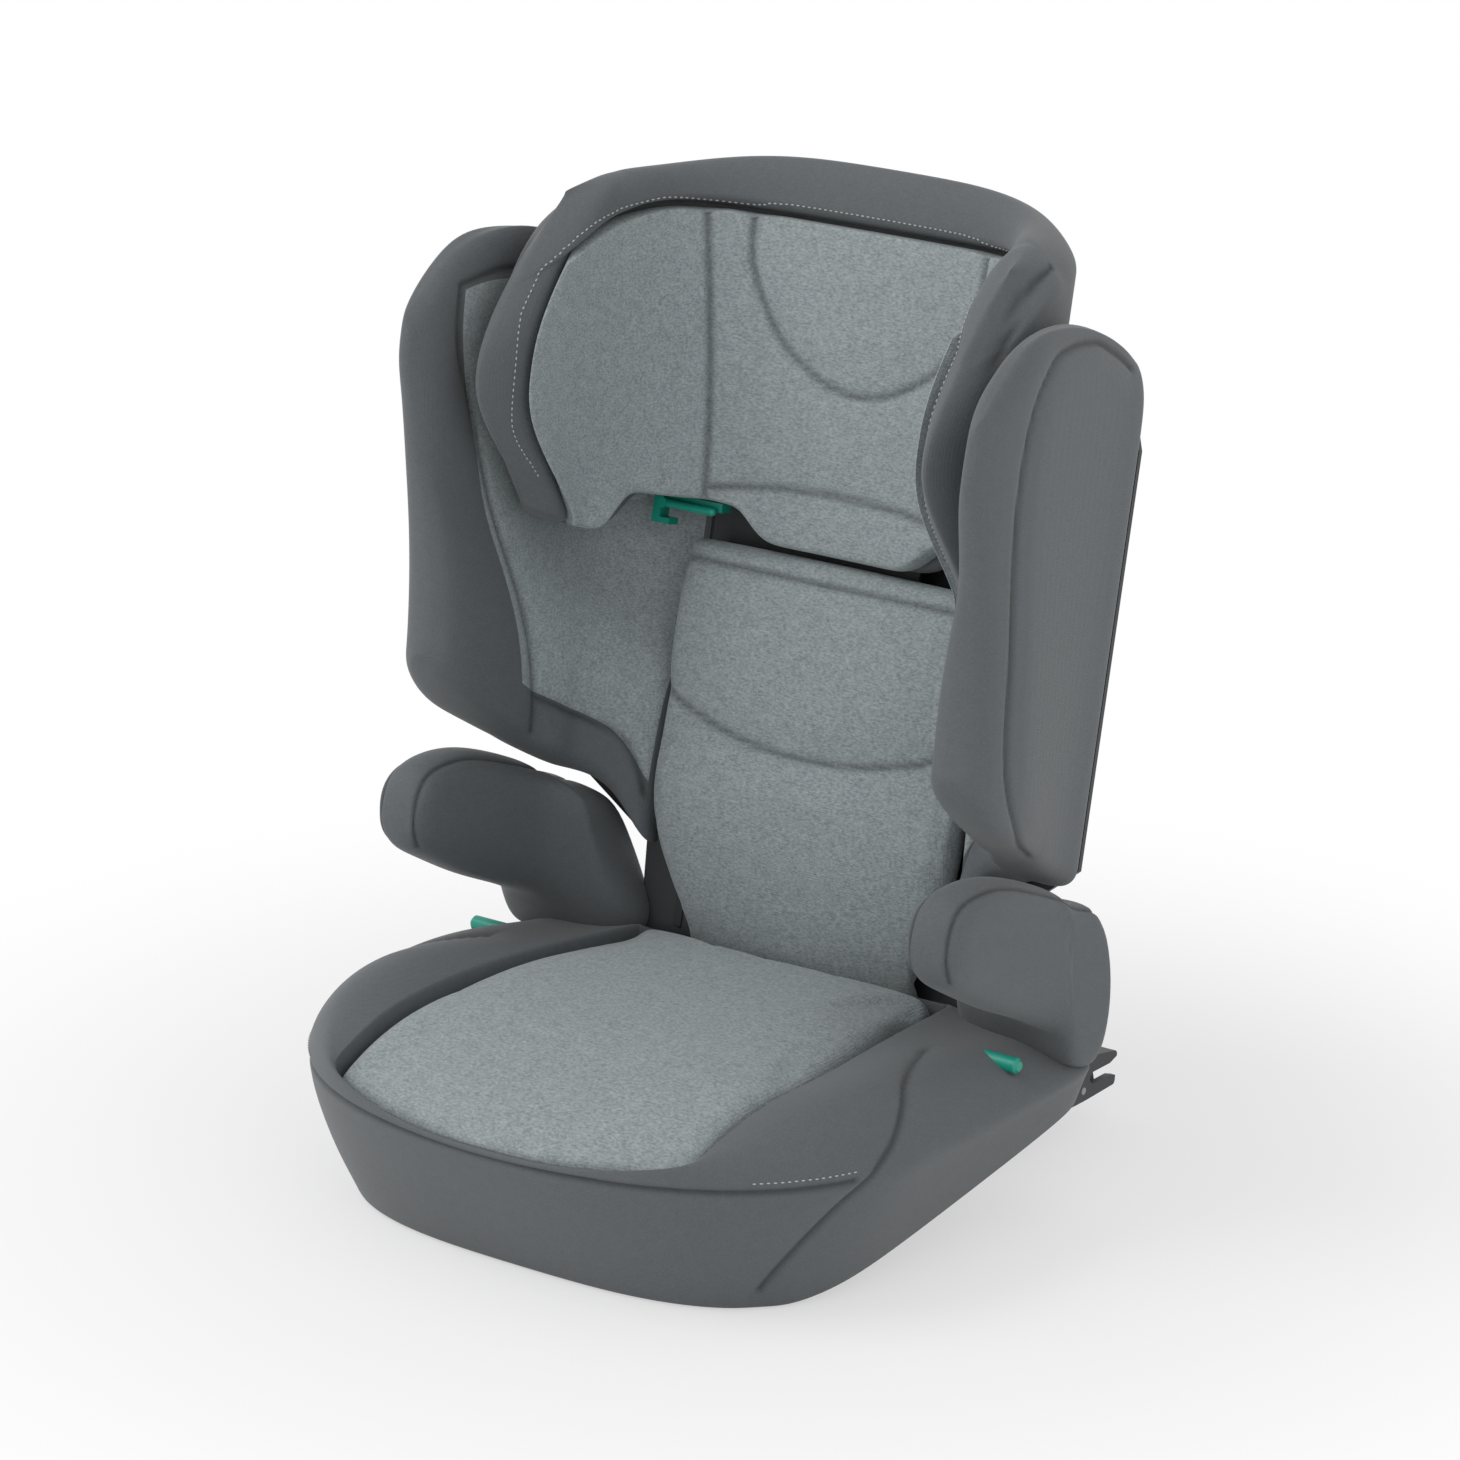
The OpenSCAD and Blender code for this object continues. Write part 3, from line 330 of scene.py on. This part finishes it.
def woven(name, dark, light, fleck, contrast, rough, sheen, pitch, bump):
    """Fabric material: heathered colour, knit relief, and painted shade that darkens the seams."""
    mat, t, shader, place = blank_material(name)
    yarn = t.add("ShaderNodeGroup", (), node_tree=HEATHER)
    knit = t.add("ShaderNodeGroup", (), node_tree=KNIT)
    link = mat.node_tree.links.new
    link(place, yarn.inputs["Place"])
    link(place, knit.inputs["Place"])
    yarn.inputs["Fleck size"].default_value = fleck
    yarn.inputs["Dark"].default_value = dark
    yarn.inputs["Light"].default_value = light
    yarn.inputs["Contrast"].default_value = contrast
    knit.inputs["Rib pitch"].default_value = pitch
    # Painted shade: the colour is darkened by up to 55 % along the seam creases
    seam = t.add("ShaderNodeAttribute", attribute_name="seam").outputs["Fac"]
    painted_seam_shade = t.math("SUBTRACT", 1.0, t.math("MULTIPLY", seam, 0.55))
    tone = t.add("ShaderNodeVectorMath", ((0, yarn.outputs["Color"]), (1, painted_seam_shade)), operation="MULTIPLY")
    link(tone.outputs[0], shader.inputs["Base Color"])
    relief = t.add("ShaderNodeBump", (("Height", knit.outputs["Height"]), ("Strength", bump),
                                      ("Distance", KNIT_RELIEF)))
    link(relief.outputs[0], shader.inputs["Normal"])
    wear = t.math("ADD", rough, t.math("MULTIPLY", knit.outputs["Mask"], 0.15))
    link(wear, shader.inputs["Roughness"])
    shader.inputs["Sheen Weight"].default_value = sheen
    shader.inputs["Sheen Roughness"].default_value = 0.5
    shader.inputs["Specular IOR Level"].default_value = 0.25
    return mat


def moulded(name, colour, rough, grain=900.0, bump=0.12, metal=0.0):
    mat, t, shader, place = blank_material(name)
    surface = t.add("ShaderNodeGroup", (), node_tree=GRAIN)
    link = mat.node_tree.links.new
    link(place, surface.inputs["Place"])
    surface.inputs["Grain"].default_value = grain
    surface.inputs["Base"].default_value = colour
    surface.inputs["Rough"].default_value = rough
    link(surface.outputs["Color"], shader.inputs["Base Color"])
    link(surface.outputs["Roughness"], shader.inputs["Roughness"])
    relief = t.add("ShaderNodeBump", (("Height", surface.outputs["Height"]), ("Strength", bump),
                                      ("Distance", GRAIN_RELIEF)))
    link(relief.outputs[0], shader.inputs["Normal"])
    shader.inputs["Metallic"].default_value = metal
    return mat


# Colours dark and light, then fleck size, contrast, roughness, sheen, rib pitch and bump
slate_cloth = woven(
    "slate knit", srgb(90, 94, 97), srgb(106, 110, 113), 1.2, 0.8, 0.62, 0.18, 1.3, 0.25)
heather_cloth = woven(
    "heather melange", srgb(122, 131, 134), srgb(176, 184, 186), 1.6, 1.05, 0.7, 0.2, 1.5, 0.35)
thread = woven(
    "pale sewing thread", srgb(170, 172, 172), srgb(205, 207, 207), 0.6, 0.6, 0.5, 0.1, 0.5, 0.3)
charcoal_plastic = moulded("charcoal moulded plastic", srgb(52, 54, 57), 0.48)
frame_steel = moulded("zinc plated steel", srgb(150, 153, 157), 0.32, 400.0, 0.05, 1.0)
teal_plastic = moulded("teal moulded plastic", srgb(24, 158, 136), 0.38)
foot_rubber = moulded("foot rubber", srgb(36, 37, 39), 0.8, 500.0, 0.3)

# ---- Stitching, one short thread after another along a line ------------------
def stitch_tree():
    group = bpy.data.node_groups.new("stitch row", "GeometryNodeTree")
    side = group.interface
    side.new_socket(name="Line", in_out="INPUT", socket_type="NodeSocketGeometry")
    for label, value in (("Pitch", 0.004), ("Length", 0.0026), ("Thickness", 0.0008)):
        side.new_socket(name=label, in_out="INPUT", socket_type="NodeSocketFloat").default_value = value
    side.new_socket(name="Thread", in_out="INPUT", socket_type="NodeSocketMaterial")
    side.new_socket(name="Stitches", in_out="OUTPUT", socket_type="NodeSocketGeometry")
    t = Tree(group)
    given = t.add("NodeGroupInput").outputs
    curve = t.add("GeometryNodeMeshToCurve", ((0, given["Line"]),))
    dots = t.add("GeometryNodeCurveToPoints", (("Curve", curve.outputs[0]), ("Length", given["Pitch"])),
                 mode="LENGTH")
    bead = t.add("GeometryNodeMeshIcoSphere", (("Radius", 0.5), ("Subdivisions", 1)))
    size = t.add("ShaderNodeCombineXYZ", ((0, given["Thickness"]), (1, given["Thickness"]),
                                          (2, given["Length"])))
    thread_form = t.add("GeometryNodeTransform", (("Geometry", bead.outputs[0]), ("Scale", size.outputs[0])))
    row = t.add("GeometryNodeInstanceOnPoints", (("Points", dots.outputs["Points"]),
                                                 ("Rotation", dots.outputs["Rotation"]),
                                                 ("Instance", thread_form.outputs[0])))
    real = t.add("GeometryNodeRealizeInstances", ((0, row.outputs[0]),))
    done = t.add("GeometryNodeSetMaterial", (("Geometry", real.outputs[0]), ("Material", given["Thread"])))
    t.add("NodeGroupOutput", ((0, done.outputs[0]),))
    return group


STITCHES = stitch_tree()


def stitch(name, rows, material, body, pitch=4.0, length=2.6, thick=0.8):
    """Rows of thread, given as lines in metres that already lie on the fabric."""
    verts, edges = [], []
    for row in rows:
        start = len(verts)
        verts += row
        edges += [(start + i, start + i + 1) for i in range(len(row) - 1)]
    mesh = bpy.data.meshes.new(name)
    mesh.from_pydata(verts, edges, [])
    ob = bpy.data.objects.new(name, mesh)
    bpy.context.collection.objects.link(ob)
    row = ob.modifiers.new("row", "NODES")
    row.node_group = STITCHES
    values = {"Pitch": pitch * MM, "Length": length * MM, "Thickness": thick * MM, "Thread": material}
    for item in STITCHES.interface.items_tree:
        if item.in_out == "INPUT" and item.name in values:
            row[item.identifier] = values[item.name]
    bake(ob)
    ob.data.shade_smooth()
    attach(ob, body)
    return ob


def settle(ob, body, *nodes, slot="slate_fabric", fill=0.9):
    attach(ob, body)
    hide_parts(*nodes)
    return ob


# ---- Shapes of the covers, in millimetres ------------------------------------
def base_half(z):
    return mix(181, 224, min(1, max(0, z / 92)) ** 0.8)


def base_line(z, inset=0.0):
    """Plan of the base at one height: rounded front, straight sides, well for the backrest at the rear."""
    f = min(1, max(0, z / 92))
    half, rear, notch, well = base_half(z) - inset, 80 - inset, 52 - inset, 150 + inset
    front, power = mix(228, 272, f ** 0.9) - inset, mix(3, 2.25, f)
    arc = [math.pi + math.pi * k / 26 for k in range(27)]
    plan = [(half * spow(math.cos(a), 2 / power), -100 + (front - 100) * spow(math.sin(a), 2 / power))
            for a in arc]
    tail = [(half, -40), (half, rear - 22), (half - 6, rear - 8), (half - 20, rear), (well, rear),
            (well, notch), (well / 3, notch)]
    return plan + tail + [(-x, y) for x, y in reversed(tail)]


def hem_z(y):
    return max(0, 64 * (y + 176) / 256)


def bolster_line(y):
    if y < -130:
        return mix(92, 131, math.sin(math.radians(90 * min(1, max(0, (y + 272) / 142)))))
    return 131 if y < -60 else mix(131, 104, ease((y + 60) / 78))


def seat_half(y):
    return 137 if y < -90 else mix(137, 116, ease((y + 90) / 130))


def seat_top(y):
    rise = math.sin(math.radians(90 * min(1, max(0, (y + 272) / 120))))
    return mix(90, 122, rise) - 6 * ease((y + 60) / 110)


def cover_row(t):
    """The cover between the belt line (t = 0) and the seat's edge (t = 1), over the side bolsters."""
    row = []
    for x, y in base_line(92):
        half = seat_half(y)
        ex, ey = min(half, max(-half, x)), min(51.7, max(-264, y + (7 if y < -200 else 0)))
        ex += math.copysign(1.2, ex)
        top, seat = bolster_line(y), seat_top(ey) - 2
        if t < 0.5:
            z = mix(89, max(89.5, top), math.sin(math.pi * t) ** 0.8)
        else:
            z = mix(max(89.5, top), seat, 1 - math.cos(math.pi / 2 * (t - 0.5) / 0.5))
        row.append((mix(x, ex, t), mix(y, ey, t), z))
    return row


def base_cover():
    outer = []
    for f in (0, 0.04, 0.3, 0.6, 0.86):
        row = []
        for k, (x, y) in enumerate(base_line(0)):
            z = mix(hem_z(y), 88, f)
            row.append((*base_line(z)[k], z))
        outer.append(row)
    inner = [[(*base_line(70, 8)[k], 70) for k in range(41)], [(*base_line(46, 8)[k], max(46, hem_z(y) + 6))
             for k, (x, y) in enumerate(base_line(0))], [(*base_line(hem_z(y), 8)[k], hem_z(y) + 0.5)
             for k, (x, y) in enumerate(base_line(0))]]
    rows = outer + [cover_row(t) for t in (0.0, 0.05, 0.14, 0.26, 0.4, 0.55, 0.7, 0.84, 0.93, 0.97)]
    rows += [[(p[0], p[1], 78) for p in cover_row(0.97)]] + inner
    ob = fabric_piece("base_cover_fabric", rows, [slate_cloth], levels=3, wrap=True)
    belt = [(x, y, 87.5) for x, y in base_line(88)[:27]]
    skirt = [p for p in belt if p[1] < -150]
    seams = [skirt]
    for _, s in SIDES:
        seams.append(flip_x([(206, -112, 120), (212, -136, 102), (205, -168, 78), (196, -193, 48),
                             (184, -208, 21), (176, -214, 4)], s))
        seams.append(flip_x([(206, -112, 120), (196, -95, 131), (182, -70, 133), (168, -40, 126)], s))
    sew(ob, seams)
    corner = [(x, y, 93) for x, y in base_line(92, 5)[:27] if y < -150]
    rows = [[p for p in corner if p[0] < -168], [p for p in corner if p[0] > 168]]
    stitch("skirt_stitching", [lay_on(ob, fluent(r), 0.35) for r in rows], thread, "base", thick=1.1)
    return settle(ob, "base", "base_cover")


def seat_cushion():
    rows = []
    for d in (0, 6, 18, 36, 64, 100, 145, 190, 240, 275, 290):
        t = d / 290
        y = -264 + t * 315.7
        half, top = seat_half(y) - 0.3, seat_top(y)
        across = [half * (k / 6 - 1) for k in range(13)]
        bend = [29 * (x / half) ** 2 * (1 - t) ** 6 for x in across]
        up = [(x, y + b, top + 4 * (1 - (x / half) ** 4) - (4 if d == 0 else 0))
              for x, b in zip(across, bend)]
        down = [(x, y + b, 78.5) for x, b in zip(across, bend)]
        rows.append(up + down[::-1])
    ob = fabric_piece("seat_cushion_fabric", rows, [heather_cloth], levels=3)
    relax(ob, 4, 2.0, lambda p: p[:, 2] < 84)
    return settle(ob, "base", "seat_cushion", slot="melange_fabric")


# Armrest sections from front to rear: y, underside, top, and how far the foot leans in
ARM_STATIONS = ((-92, 196, 215, 0), (-87, 186, 231, 0), (-76, 179, 240, 0), (-56, 167, 243, 0),
                (-30, 152, 240, 0), (0, 139, 229, 3), (26, 126, 217, 12), (36, 116, 211, 34),
                (41, 96, 205, 50), (60, 88, 197.5, 62), (79, 88, 192, 56))
ARM_X, ARM_HALF = 204.5, 21.5
ARM_ROUNDING = {-92: 0.62, -87: 0.86}


def armrest(side, s):
    rows = []
    for y, low, high, lean in ARM_STATIONS:
        half = ARM_HALF * ARM_ROUNDING.get(y, 1)
        box = mix(0.7, 0.42, ease((y - 26) / 15))
        row = []
        for k in range(24):
            a = math.radians(180 - 360 * (k + 0.5) / 24)
            px, pz = spow(math.cos(a), box), spow(math.sin(a), box)
            reach = lean * (1 - ((1 + pz) / 2) ** 16)
            foot = -px * (min(reach, 33) if pz > 0.3 else reach) if px < 0 else 0
            row.append((s * (ARM_X + px * half - foot), y, (low + high) / 2 + pz * (high - low) / 2))
        rows.append(row)
    ob = fabric_piece("armrest_fabric_" + side, rows, [slate_cloth], levels=3)
    relax(ob, 3, 2.5, lambda p: p[:, 1] > 36)
    seams = []
    for x, drop in ((190, 4), (219, 4)):
        top = [(x, y, high - drop) for y, low, high, _ in ARM_STATIONS[2:]]
        nose = [(x, -88, 186), (x, -92, 204), (x, -89, 222)]
        seams.append(flip_x(nose + top, s))
    sew(ob, seams, depth=1.2, width=1.8, pillow=0.8, spread=8)
    return settle(ob, "base", "arm_" + side)


# Front of the back cushion from bottom to top: height along the backrest, depth behind its surface
BACK_PROFILE = ((8, 34), (14, 29), (26, 23), (44, 15), (62, 9), (80, 4), (105, -1), (128, -1),
                (150, 3.5), (175, 0), (205, -1), (240, 1), (264, 4), (273, 8))


def back_cushion():
    rows = []
    for w, v in BACK_PROFILE:
        half = 117.6 - 27 * ease((104 - w) / 92)
        across = [half * (k / 6 - 1) for k in range(13)]
        front = [on_back((x, v - 4.5 * (1 - (x / half) ** 4), w - 6 * (1 - (x / half) ** 2) * (w < 20)))
                 for x in across]
        rear = [on_back((x, max(26, v + 8), w)) for x in across]
        rows.append(front + rear[::-1])
    ob = fabric_piece("back_cushion_fabric", rows, [heather_cloth], levels=3)
    relax(ob, 4, 2.0, lambda p: np.abs(p[:, 0]) > 112)
    lumbar = [on_back((x, 0, 150 + 22 * (x / 113) ** 2)) for x in (-118, -80, -40, 0, 40, 80, 118)]
    flap = [on_back((x, 30, 15 + 7 * (x / 90) ** 2)) for x in (-92, -50, 0, 50, 92)]
    hem = [on_back((x, 2, 261)) for x in (-118, -60, 0, 60, 118)]
    sew(ob, [lumbar, flap, hem])
    return settle(ob, "backrest", "back_cushion", slot="melange_fabric")


def bow(x):
    return 50 - 28 * (abs(x) / 205) ** 2


def wing_low(x, v):
    return 106 + 0.36 * max(0, -v) + 36 * (max(0, -v - 104) / 50) ** 2 - 40 * ease((146 - x) / 28)


def wing_high(v):
    return 462 - 67 * ((-v - 98) / 89) ** 2.5 if v < -98 else 462 - 34 * ((v + 98) / 120) ** 2


def wing_outline(w):
    f = -mix(145, 187, ease((w - 90) / 290))
    thin = ease((w - 185) / 50)
    seam_v = mix(f + 92, f + 36, ease((w - 130) / 250))
    line_x = mix(174, 199, ease((w - 100) / 300))
    seam_x = mix(line_x, max(line_x, 193), thin)
    inner = [(118.3, mix(4, 36, thin)), (mix(140, 152, thin), mix(-2, 26, thin)),
             (mix(158, 178, thin), mix(seam_v * 0.28, 4, thin)),
             (mix(164, 187, thin), mix(seam_v * 0.45, -20, thin)),
             (mix(seam_x - 10, seam_x - 1.2, thin), mix(seam_v * 0.62, -46, thin)),
             (mix(seam_x - 3, seam_x - 0.6, thin), mix(seam_v * 0.85, -104, thin)), (seam_x, seam_v)]
    nose = [(seam_x + 3, f + 14), (mix(seam_x, 226, 0.35), f + 3), (mix(seam_x, 226, 0.5), f),
            (mix(seam_x, 226, 0.75), f + 2), (223, f + 12)]
    outer = [(226, f + 34), (225, f + 60), (mix(226, 205, 0.55), mix(f, 8, 0.65)), (207, -12), (206, 10)]
    rear = [(x, bow(x) - 3.8) for x in (203, 165)] + [(118.3, bow(118) - 3.8)]
    return inner + nose + outer + rear


def wing_row(t, shrink=0.0):
    o = wing_outline(mix(100, 440, t))
    row = []
    for k, (x, v) in enumerate(o):
        mx, mv = (x + o[-1 - k][0]) / 2, (v + o[-1 - k][1]) / 2
        x, v = mix(x, mx, shrink), mix(v, mv, shrink * 0.3)
        row.append((x, v, mix(wing_low(x, v), wing_high(v), t)))
    return row


def wing(side, s):
    rad = math.radians
    rows = [wing_row(0.03 * (1 - math.sin(rad(a))), 0.8 * (1 - math.cos(rad(a)))) for a in (75, 40, 0)]
    rows += [wing_row(t / 20) for t in (1, 2, 4, 6, 8, 10, 12, 14, 16)]
    rows += [wing_row(0.9 + 0.1 * math.sin(rad(a)), 1 - math.cos(rad(a))) for a in (0, 25, 48, 66, 80)]
    band, top = 4, len(rows) - 5
    ob = fabric_piece("wing_fabric_" + side, [flip_x([on_back(p) for p in row], s) for row in rows],
                      [slate_cloth, heather_cloth], lambda i, k: int(k < 6 and band <= i < top), levels=3)
    edge = [flip_x([on_back(row[6]) for row in rows[2:top + 1]], s)]
    edge.append(flip_x([on_back(rows[band][k]) for k in range(7)], s))
    edge.append(flip_x([on_back(rows[top][k]) for k in range(7)], s))
    side_seam = ((222, -2, 435), (225, -45, 449), (225, -64, 451), (225, -98, 446), (225, -122, 434),
                 (226, -140, 402), (226, -142, 343), (226, -128, 264), (224, -113, 186), (222, -83, 142),
                 (220, -60, 126))
    edge.append(flip_x([on_back(p) for p in side_seam], s))
    sew(ob, edge)
    return settle(ob, "backrest", "wing_" + side)


def head_wall(wall, power, front):
    half, rear, tip = wall
    out = []
    for k in range(29):
        a = math.radians(mix(-90, 90, k / 28))
        x, v = half * spow(math.sin(a), 2 / power), -138 + (rear + 138) * spow(max(0, math.cos(a)), 2 / power)
        if v < -60:
            v = -60 + (v + 60) * (min(-75, front) + 60) / (-78)
        out.append((math.copysign(tip, x) if k in (0, 28) else x, v))
    return out


def head_low(x, v):
    if abs(x) < 72:
        return 278
    if abs(x) < 152 and v > -50:
        return 298
    return 272 + 30 * (max(0, -v - 50) / 90) ** 2


def head_row(t, inside, outside, shrink=0.0, nose=2):
    w = mix(276, 529, t)
    front = -167 + 46 * (max(0, 400 - w) / 100) ** 3.2 + 21 * (max(0, w - 400) / 86) ** 3 + 28
    tip, lead = (inside[2] + outside[2]) / 2, min(-75, front) - nose
    o = [(-tip, lead)] + head_wall(inside, 3.2, front) + [(tip, lead), (tip + 1, lead)]
    o += head_wall(outside, 3, front)[::-1] + [(-tip - 1, lead)]
    row = []
    for k, (x, v) in enumerate(o):
        mx, mv = (x + o[-1 - k][0]) / 2, (v + o[-1 - k][1]) / 2
        low = head_low(mx, mv)
        x, v = mix(x, mx, shrink), mix(v, mv, shrink)
        high = 525 - 46 * (abs(x) / 190) ** 3.4 - 46 * (max(0, -v - 60) / 90) ** 2
        edge = min(487 - 46 * (max(0, -mv) / 120) ** 2, high - 12)
        w = mix(low, edge, t / 0.84) if t < 0.84 else mix(edge, high, (t - 0.84) / 0.16)
        row.append(on_back((x, v, w)))
    return row


# Walls of the headrest, each as half width, depth at the rear and half width at the front edge
LINING, PAD_BACK = (145, 1, 145), (163, 17, 147)
PAD_SEAT, HEAD_BACK = (163.3, 17.3, 147.3), (190, 25.7, 190)
RIM_NOSE = 28


RIM_SEAM = ((186, -66, 500), (189, -92, 490), (190, -116, 474), (190, -128, 446), (190, -132, 408),
            (190, -130, 348), (190, -122, 306))


def headrest():
    pad_levels = (0, 0.03, 0.1, 0.2, 0.3, 0.4, 0.5, 0.6, 0.7, 0.78, 0.82, 0.83)
    pad_rows = [head_row(t, LINING, PAD_BACK) for t in pad_levels]
    pad = fabric_piece("head_cushion_fabric", pad_rows, [heather_cloth], levels=3)
    pocket = ((-88, -10, 484), (-84, -8, 450), (-62, -3, 410), (-30, 0, 388), (0, 1, 381), (30, 0, 388),
              (62, -3, 410), (84, -8, 450), (88, -10, 484))
    seams = [[on_back(p) for p in pocket],
             [on_back((x, 1 - 13 * (x / 96) ** 4, 317 - 7 * (x / 84) ** 2))
              for x in (-96, -70, -35, 0, 35, 70, 96)]]
    upright = ((112, -26, 486), (106, -20, 430), (100, -17, 380), (96, -14, 330), (94, -14, 296))
    for _, s in SIDES:
        seams.append(flip_x([on_back(p) for p in upright], s))
    sew(pad, seams)
    settle(pad, "headrest", "head_cushion", slot="melange_fabric")

    rad = math.radians
    rows = [head_row(t, PAD_SEAT, HEAD_BACK, 0, RIM_NOSE)
            for t in (0, 0.03, 0.1, 0.2, 0.35, 0.5, 0.62, 0.74, 0.83, 0.84)]
    rows += [head_row(t, LINING, HEAD_BACK, 0, RIM_NOSE) for t in (0.85, 0.88)]
    rows += [head_row(0.88 + 0.12 * math.sin(rad(a)), LINING, HEAD_BACK, 1 - math.cos(rad(a)), RIM_NOSE)
             for a in (20, 38, 54, 68, 80)]
    rim = fabric_piece("head_bolster_fabric", rows, [slate_cloth], levels=2)
    outer = []
    for _, s in SIDES:
        outer.append(flip_x([on_back(p) for p in RIM_SEAM], s))
    sew(rim, outer)
    half = [(152, -110, 302), (151, -140, 330), (151, -148, 380), (150, -146, 420), (147, -128, 446),
            (142, -96, 468), (134, -60, 482), (120, -24, 490), (96, -6, 493), (60, -2, 493), (0, -2, 493)]
    edge = [on_back((-x, v, w)) for x, v, w in half] + [on_back(p) for p in half[-2::-1]]
    stitch("headrest_stitching", [lay_on(rim, fluent(edge), 0.35)], thread, "headrest", thick=1.1)
    settle(rim, "headrest", "head_bolster")


base_cover()
seat_cushion()
for side, s in SIDES:
    armrest(side, s)
    wing(side, s)
back_cushion()
headrest()

# ---- Finishes of the solid parts -------------------------------------------
FINISH_OF_SLOT = {"shell_plastic": charcoal_plastic, "steel": frame_steel, "teal_plastic": teal_plastic,
                  "rubber": foot_rubber, "slate_fabric": slate_cloth, "melange_fabric": heather_cloth}
for part in frame["record"]["subparts"]:
    node = frame["nodes"][part["node"]]
    for holder in node.material_slots:
        holder.material = FINISH_OF_SLOT[part["material_slot"]]


# ---- Floor, light and camera -------------------------------------------------
def direct_ray(t):
    """1 for rays that reach the eye straight, by a mirror or through glass, 0 for scattered light."""
    path = t.add("ShaderNodeLightPath").outputs
    mirrored = t.math("MAXIMUM", path["Is Camera Ray"], path["Is Glossy Ray"])
    return t.math("MAXIMUM", mirrored, path["Is Transmission Ray"])


def studio():
    bpy.ops.mesh.primitive_circle_add(vertices=96, radius=6, fill_type="TRIFAN", location=(0, 0, -0.0005))
    floor = bpy.context.object
    floor.name = "studio_floor"
    mat = bpy.data.materials.new("pale studio floor")
    mat.use_nodes = True
    mat.node_tree.nodes.clear()
    t = Tree(mat.node_tree)
    place = t.add("ShaderNodeTexCoord").outputs["Object"]
    away = t.add("ShaderNodeVectorMath", ((0, place),), operation="LENGTH").outputs["Value"]
    fade = t.add("ShaderNodeMapRange", (("Value", away), ("From Min", 0.3), ("From Max", 0.75)),
                 interpolation_type="SMOOTHSTEP").outputs[0]
    seen = direct_ray(t)
    share = t.math("MULTIPLY", seen, t.math("ADD", 0.55, t.math("MULTIPLY", fade, 0.45)))
    matte = t.add("ShaderNodeBsdfDiffuse", (("Color", (0.93, 0.93, 0.93, 1)),))
    white = t.add("ShaderNodeEmission", (("Color", (1, 1, 1, 1)), ("Strength", 1.0)))
    both = t.add("ShaderNodeMixShader", ((0, share), (1, matte.outputs[0]), (2, white.outputs[0])))
    t.add("ShaderNodeOutputMaterial", ((0, both.outputs[0]),))
    floor.data.materials.append(mat)

    world = bpy.data.worlds.new("soft studio")
    world.use_nodes = True
    world.node_tree.nodes.clear()
    t = Tree(world.node_tree)
    seen = direct_ray(t)
    strength = t.math("ADD", 0.62, t.math("MULTIPLY", seen, 0.38))
    back = t.add("ShaderNodeBackground", (("Color", (1, 1, 1, 1)), ("Strength", strength)))
    t.add("ShaderNodeOutputWorld", ((0, back.outputs[0]),))
    bpy.context.scene.world = world

    def softbox(name, place, aim, size, power):
        light = bpy.data.lights.new(name, "AREA")
        light.size, light.energy = size, power
        ob = bpy.data.objects.new(name, light)
        ob.location = place
        ob.rotation_euler = (Vector(aim) - Vector(place)).to_track_quat("-Z", "Y").to_euler()
        bpy.context.collection.objects.link(ob)

    softbox("key_light", (-1.6, -1.6, 2.6), (0, -0.05, 0.3), 1.8, 30)
    softbox("fill_light", (2.4, -1.2, 1.6), (0, -0.05, 0.3), 2.0, 9)

    lens = bpy.data.cameras.new("camera")
    lens.lens, lens.sensor_width = 154.0, 36
    camera = bpy.data.objects.new("camera", lens)
    camera.location = (2.193, -2.954, 1.507)
    aim = Vector((0, -0.0124, 0.2863)) - camera.location
    camera.rotation_euler = aim.to_track_quat("-Z", "Y").to_euler()
    bpy.context.collection.objects.link(camera)
    bpy.context.scene.camera = camera
    bpy.context.scene.view_settings.view_transform = "Standard"


studio()
